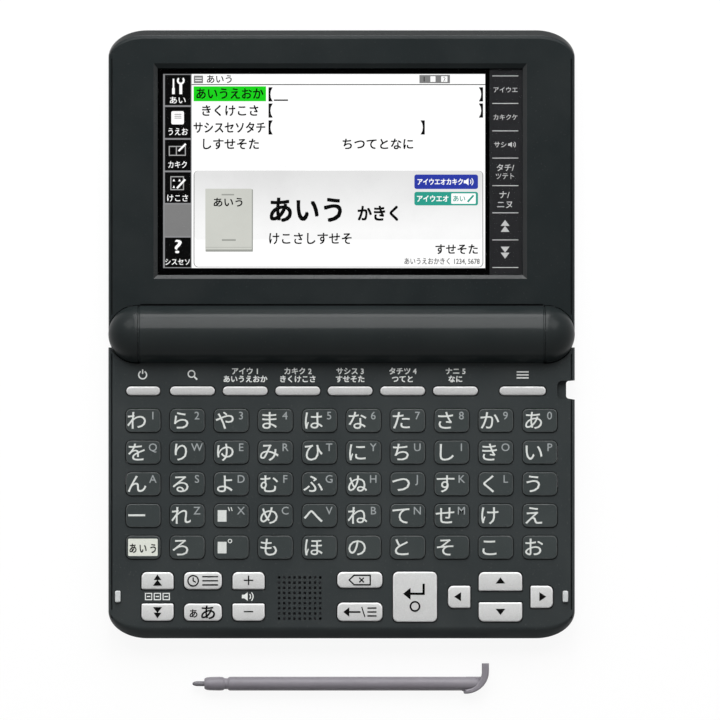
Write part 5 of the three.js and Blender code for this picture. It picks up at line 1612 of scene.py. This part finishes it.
BRACKETS = ["hinge_bracket_left", "hinge_bracket_right"]
KEPT = {
    STEEL: ["contact_plate", "contact_spring", "key_support_plate", "usb_socket", *BRACKETS],
    ALUMINIUM: ["card_socket", "display_frame"],
    SPEAKER_STEEL: ["speaker"],
    BOARD: ["main_board"],
    CASE: ["stylus_silo", "earphone_socket"],
}
for finish, names in KEPT.items():
    for name in names:
        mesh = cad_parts[name].data
        mesh.materials.clear()
        mesh.materials.append(finish)


# Floor, world and lamps

def bare_tree(owner):
    """Gives a material or a world an empty tree of nodes"""
    owner.use_nodes = True
    owner.node_tree.nodes.clear()
    return owner.node_tree


def seen_of(tree):
    """One for rays from the camera, from a gloss or through glass, nought for the rest"""
    path = node_of(tree, "ShaderNodeLightPath").outputs
    direct = math_of(tree, "MAXIMUM", path["Is Camera Ray"], path["Is Glossy Ray"])
    return math_of(tree, "MAXIMUM", direct, path["Is Transmission Ray"])


def shader_of(tree, kind, colour=(1, 1, 1, 1)):
    made = node_of(tree, kind)
    made.inputs["Color"].default_value = colour
    return made.outputs[0]


def mixed_of(tree, *sources):
    """Mixes two shaders, after their share"""
    made = node_of(tree, "ShaderNodeMixShader")
    for target, source in zip(made.inputs, sources):
        tree.links.new(source, target)
    return made.outputs[0]


def pale_floor():
    """White to the eye, a little less so to the light that it throws back, and clear from below"""
    material = bpy.data.materials.new("pale_floor")
    tree = bare_tree(material)
    cover = shader_of(tree, "ShaderNodeBsdfDiffuse", (0.9, 0.9, 0.9, 1))
    glow = shader_of(tree, "ShaderNodeEmission")
    above = mixed_of(tree, math_of(tree, "MULTIPLY", seen_of(tree), 0.92), cover, glow)
    behind = node_of(tree, "ShaderNodeNewGeometry").outputs["Backfacing"]
    either = mixed_of(tree, behind, above, shader_of(tree, "ShaderNodeBsdfTransparent"))
    tree.links.new(either, node_of(tree, "ShaderNodeOutputMaterial").inputs[0])
    return material


floor_shape = bmesh.new()
bmesh.ops.create_grid(floor_shape, x_segments=1, y_segments=1, size=6)
floor = in_scene("floor", mesh_of(floor_shape, "floor"))
floor.data.materials.append(pale_floor())

world = bpy.data.worlds.new("studio")
bpy.context.scene.world = world
tree = bare_tree(world)
ground = node_of(tree, "ShaderNodeBackground")
ground.inputs["Color"].default_value = (1, 1, 1, 1)
feed(tree, ground.inputs["Strength"], range_of(tree, seen_of(tree), 0.0, 1.0, 0.2, 1.0))
tree.links.new(ground.outputs[0], node_of(tree, "ShaderNodeOutputWorld").inputs[0])


def panel_lamp(name, place, aim, width, height, energy):
    """A flat soft lamp that faces a point"""
    light = bpy.data.lights.new(name, "AREA")
    light.shape = "RECTANGLE"
    light.size = width
    light.size_y = height
    light.energy = energy
    lamp = in_scene(name, light)
    lamp.location = place
    lamp.rotation_euler = (Vector(aim) - Vector(place)).to_track_quat("-Z", "Y").to_euler()


panel_lamp("back_panel", (0, 0.71, 0.64), (0, 0.02, 0), 0.34, 0.8, 8.3)
panel_lamp("low_back_panel", (0, 1.2, 0.2), (0, 0.02, 0), 0.5, 0.36, 7.0)
panel_lamp("left_wing", (-0.6, 0.75, 0.7), (0, 0, 0), 0.6, 0.7, 6.0)
panel_lamp("right_wing", (0.6, 0.75, 0.7), (0, 0, 0), 0.6, 0.7, 6.0)
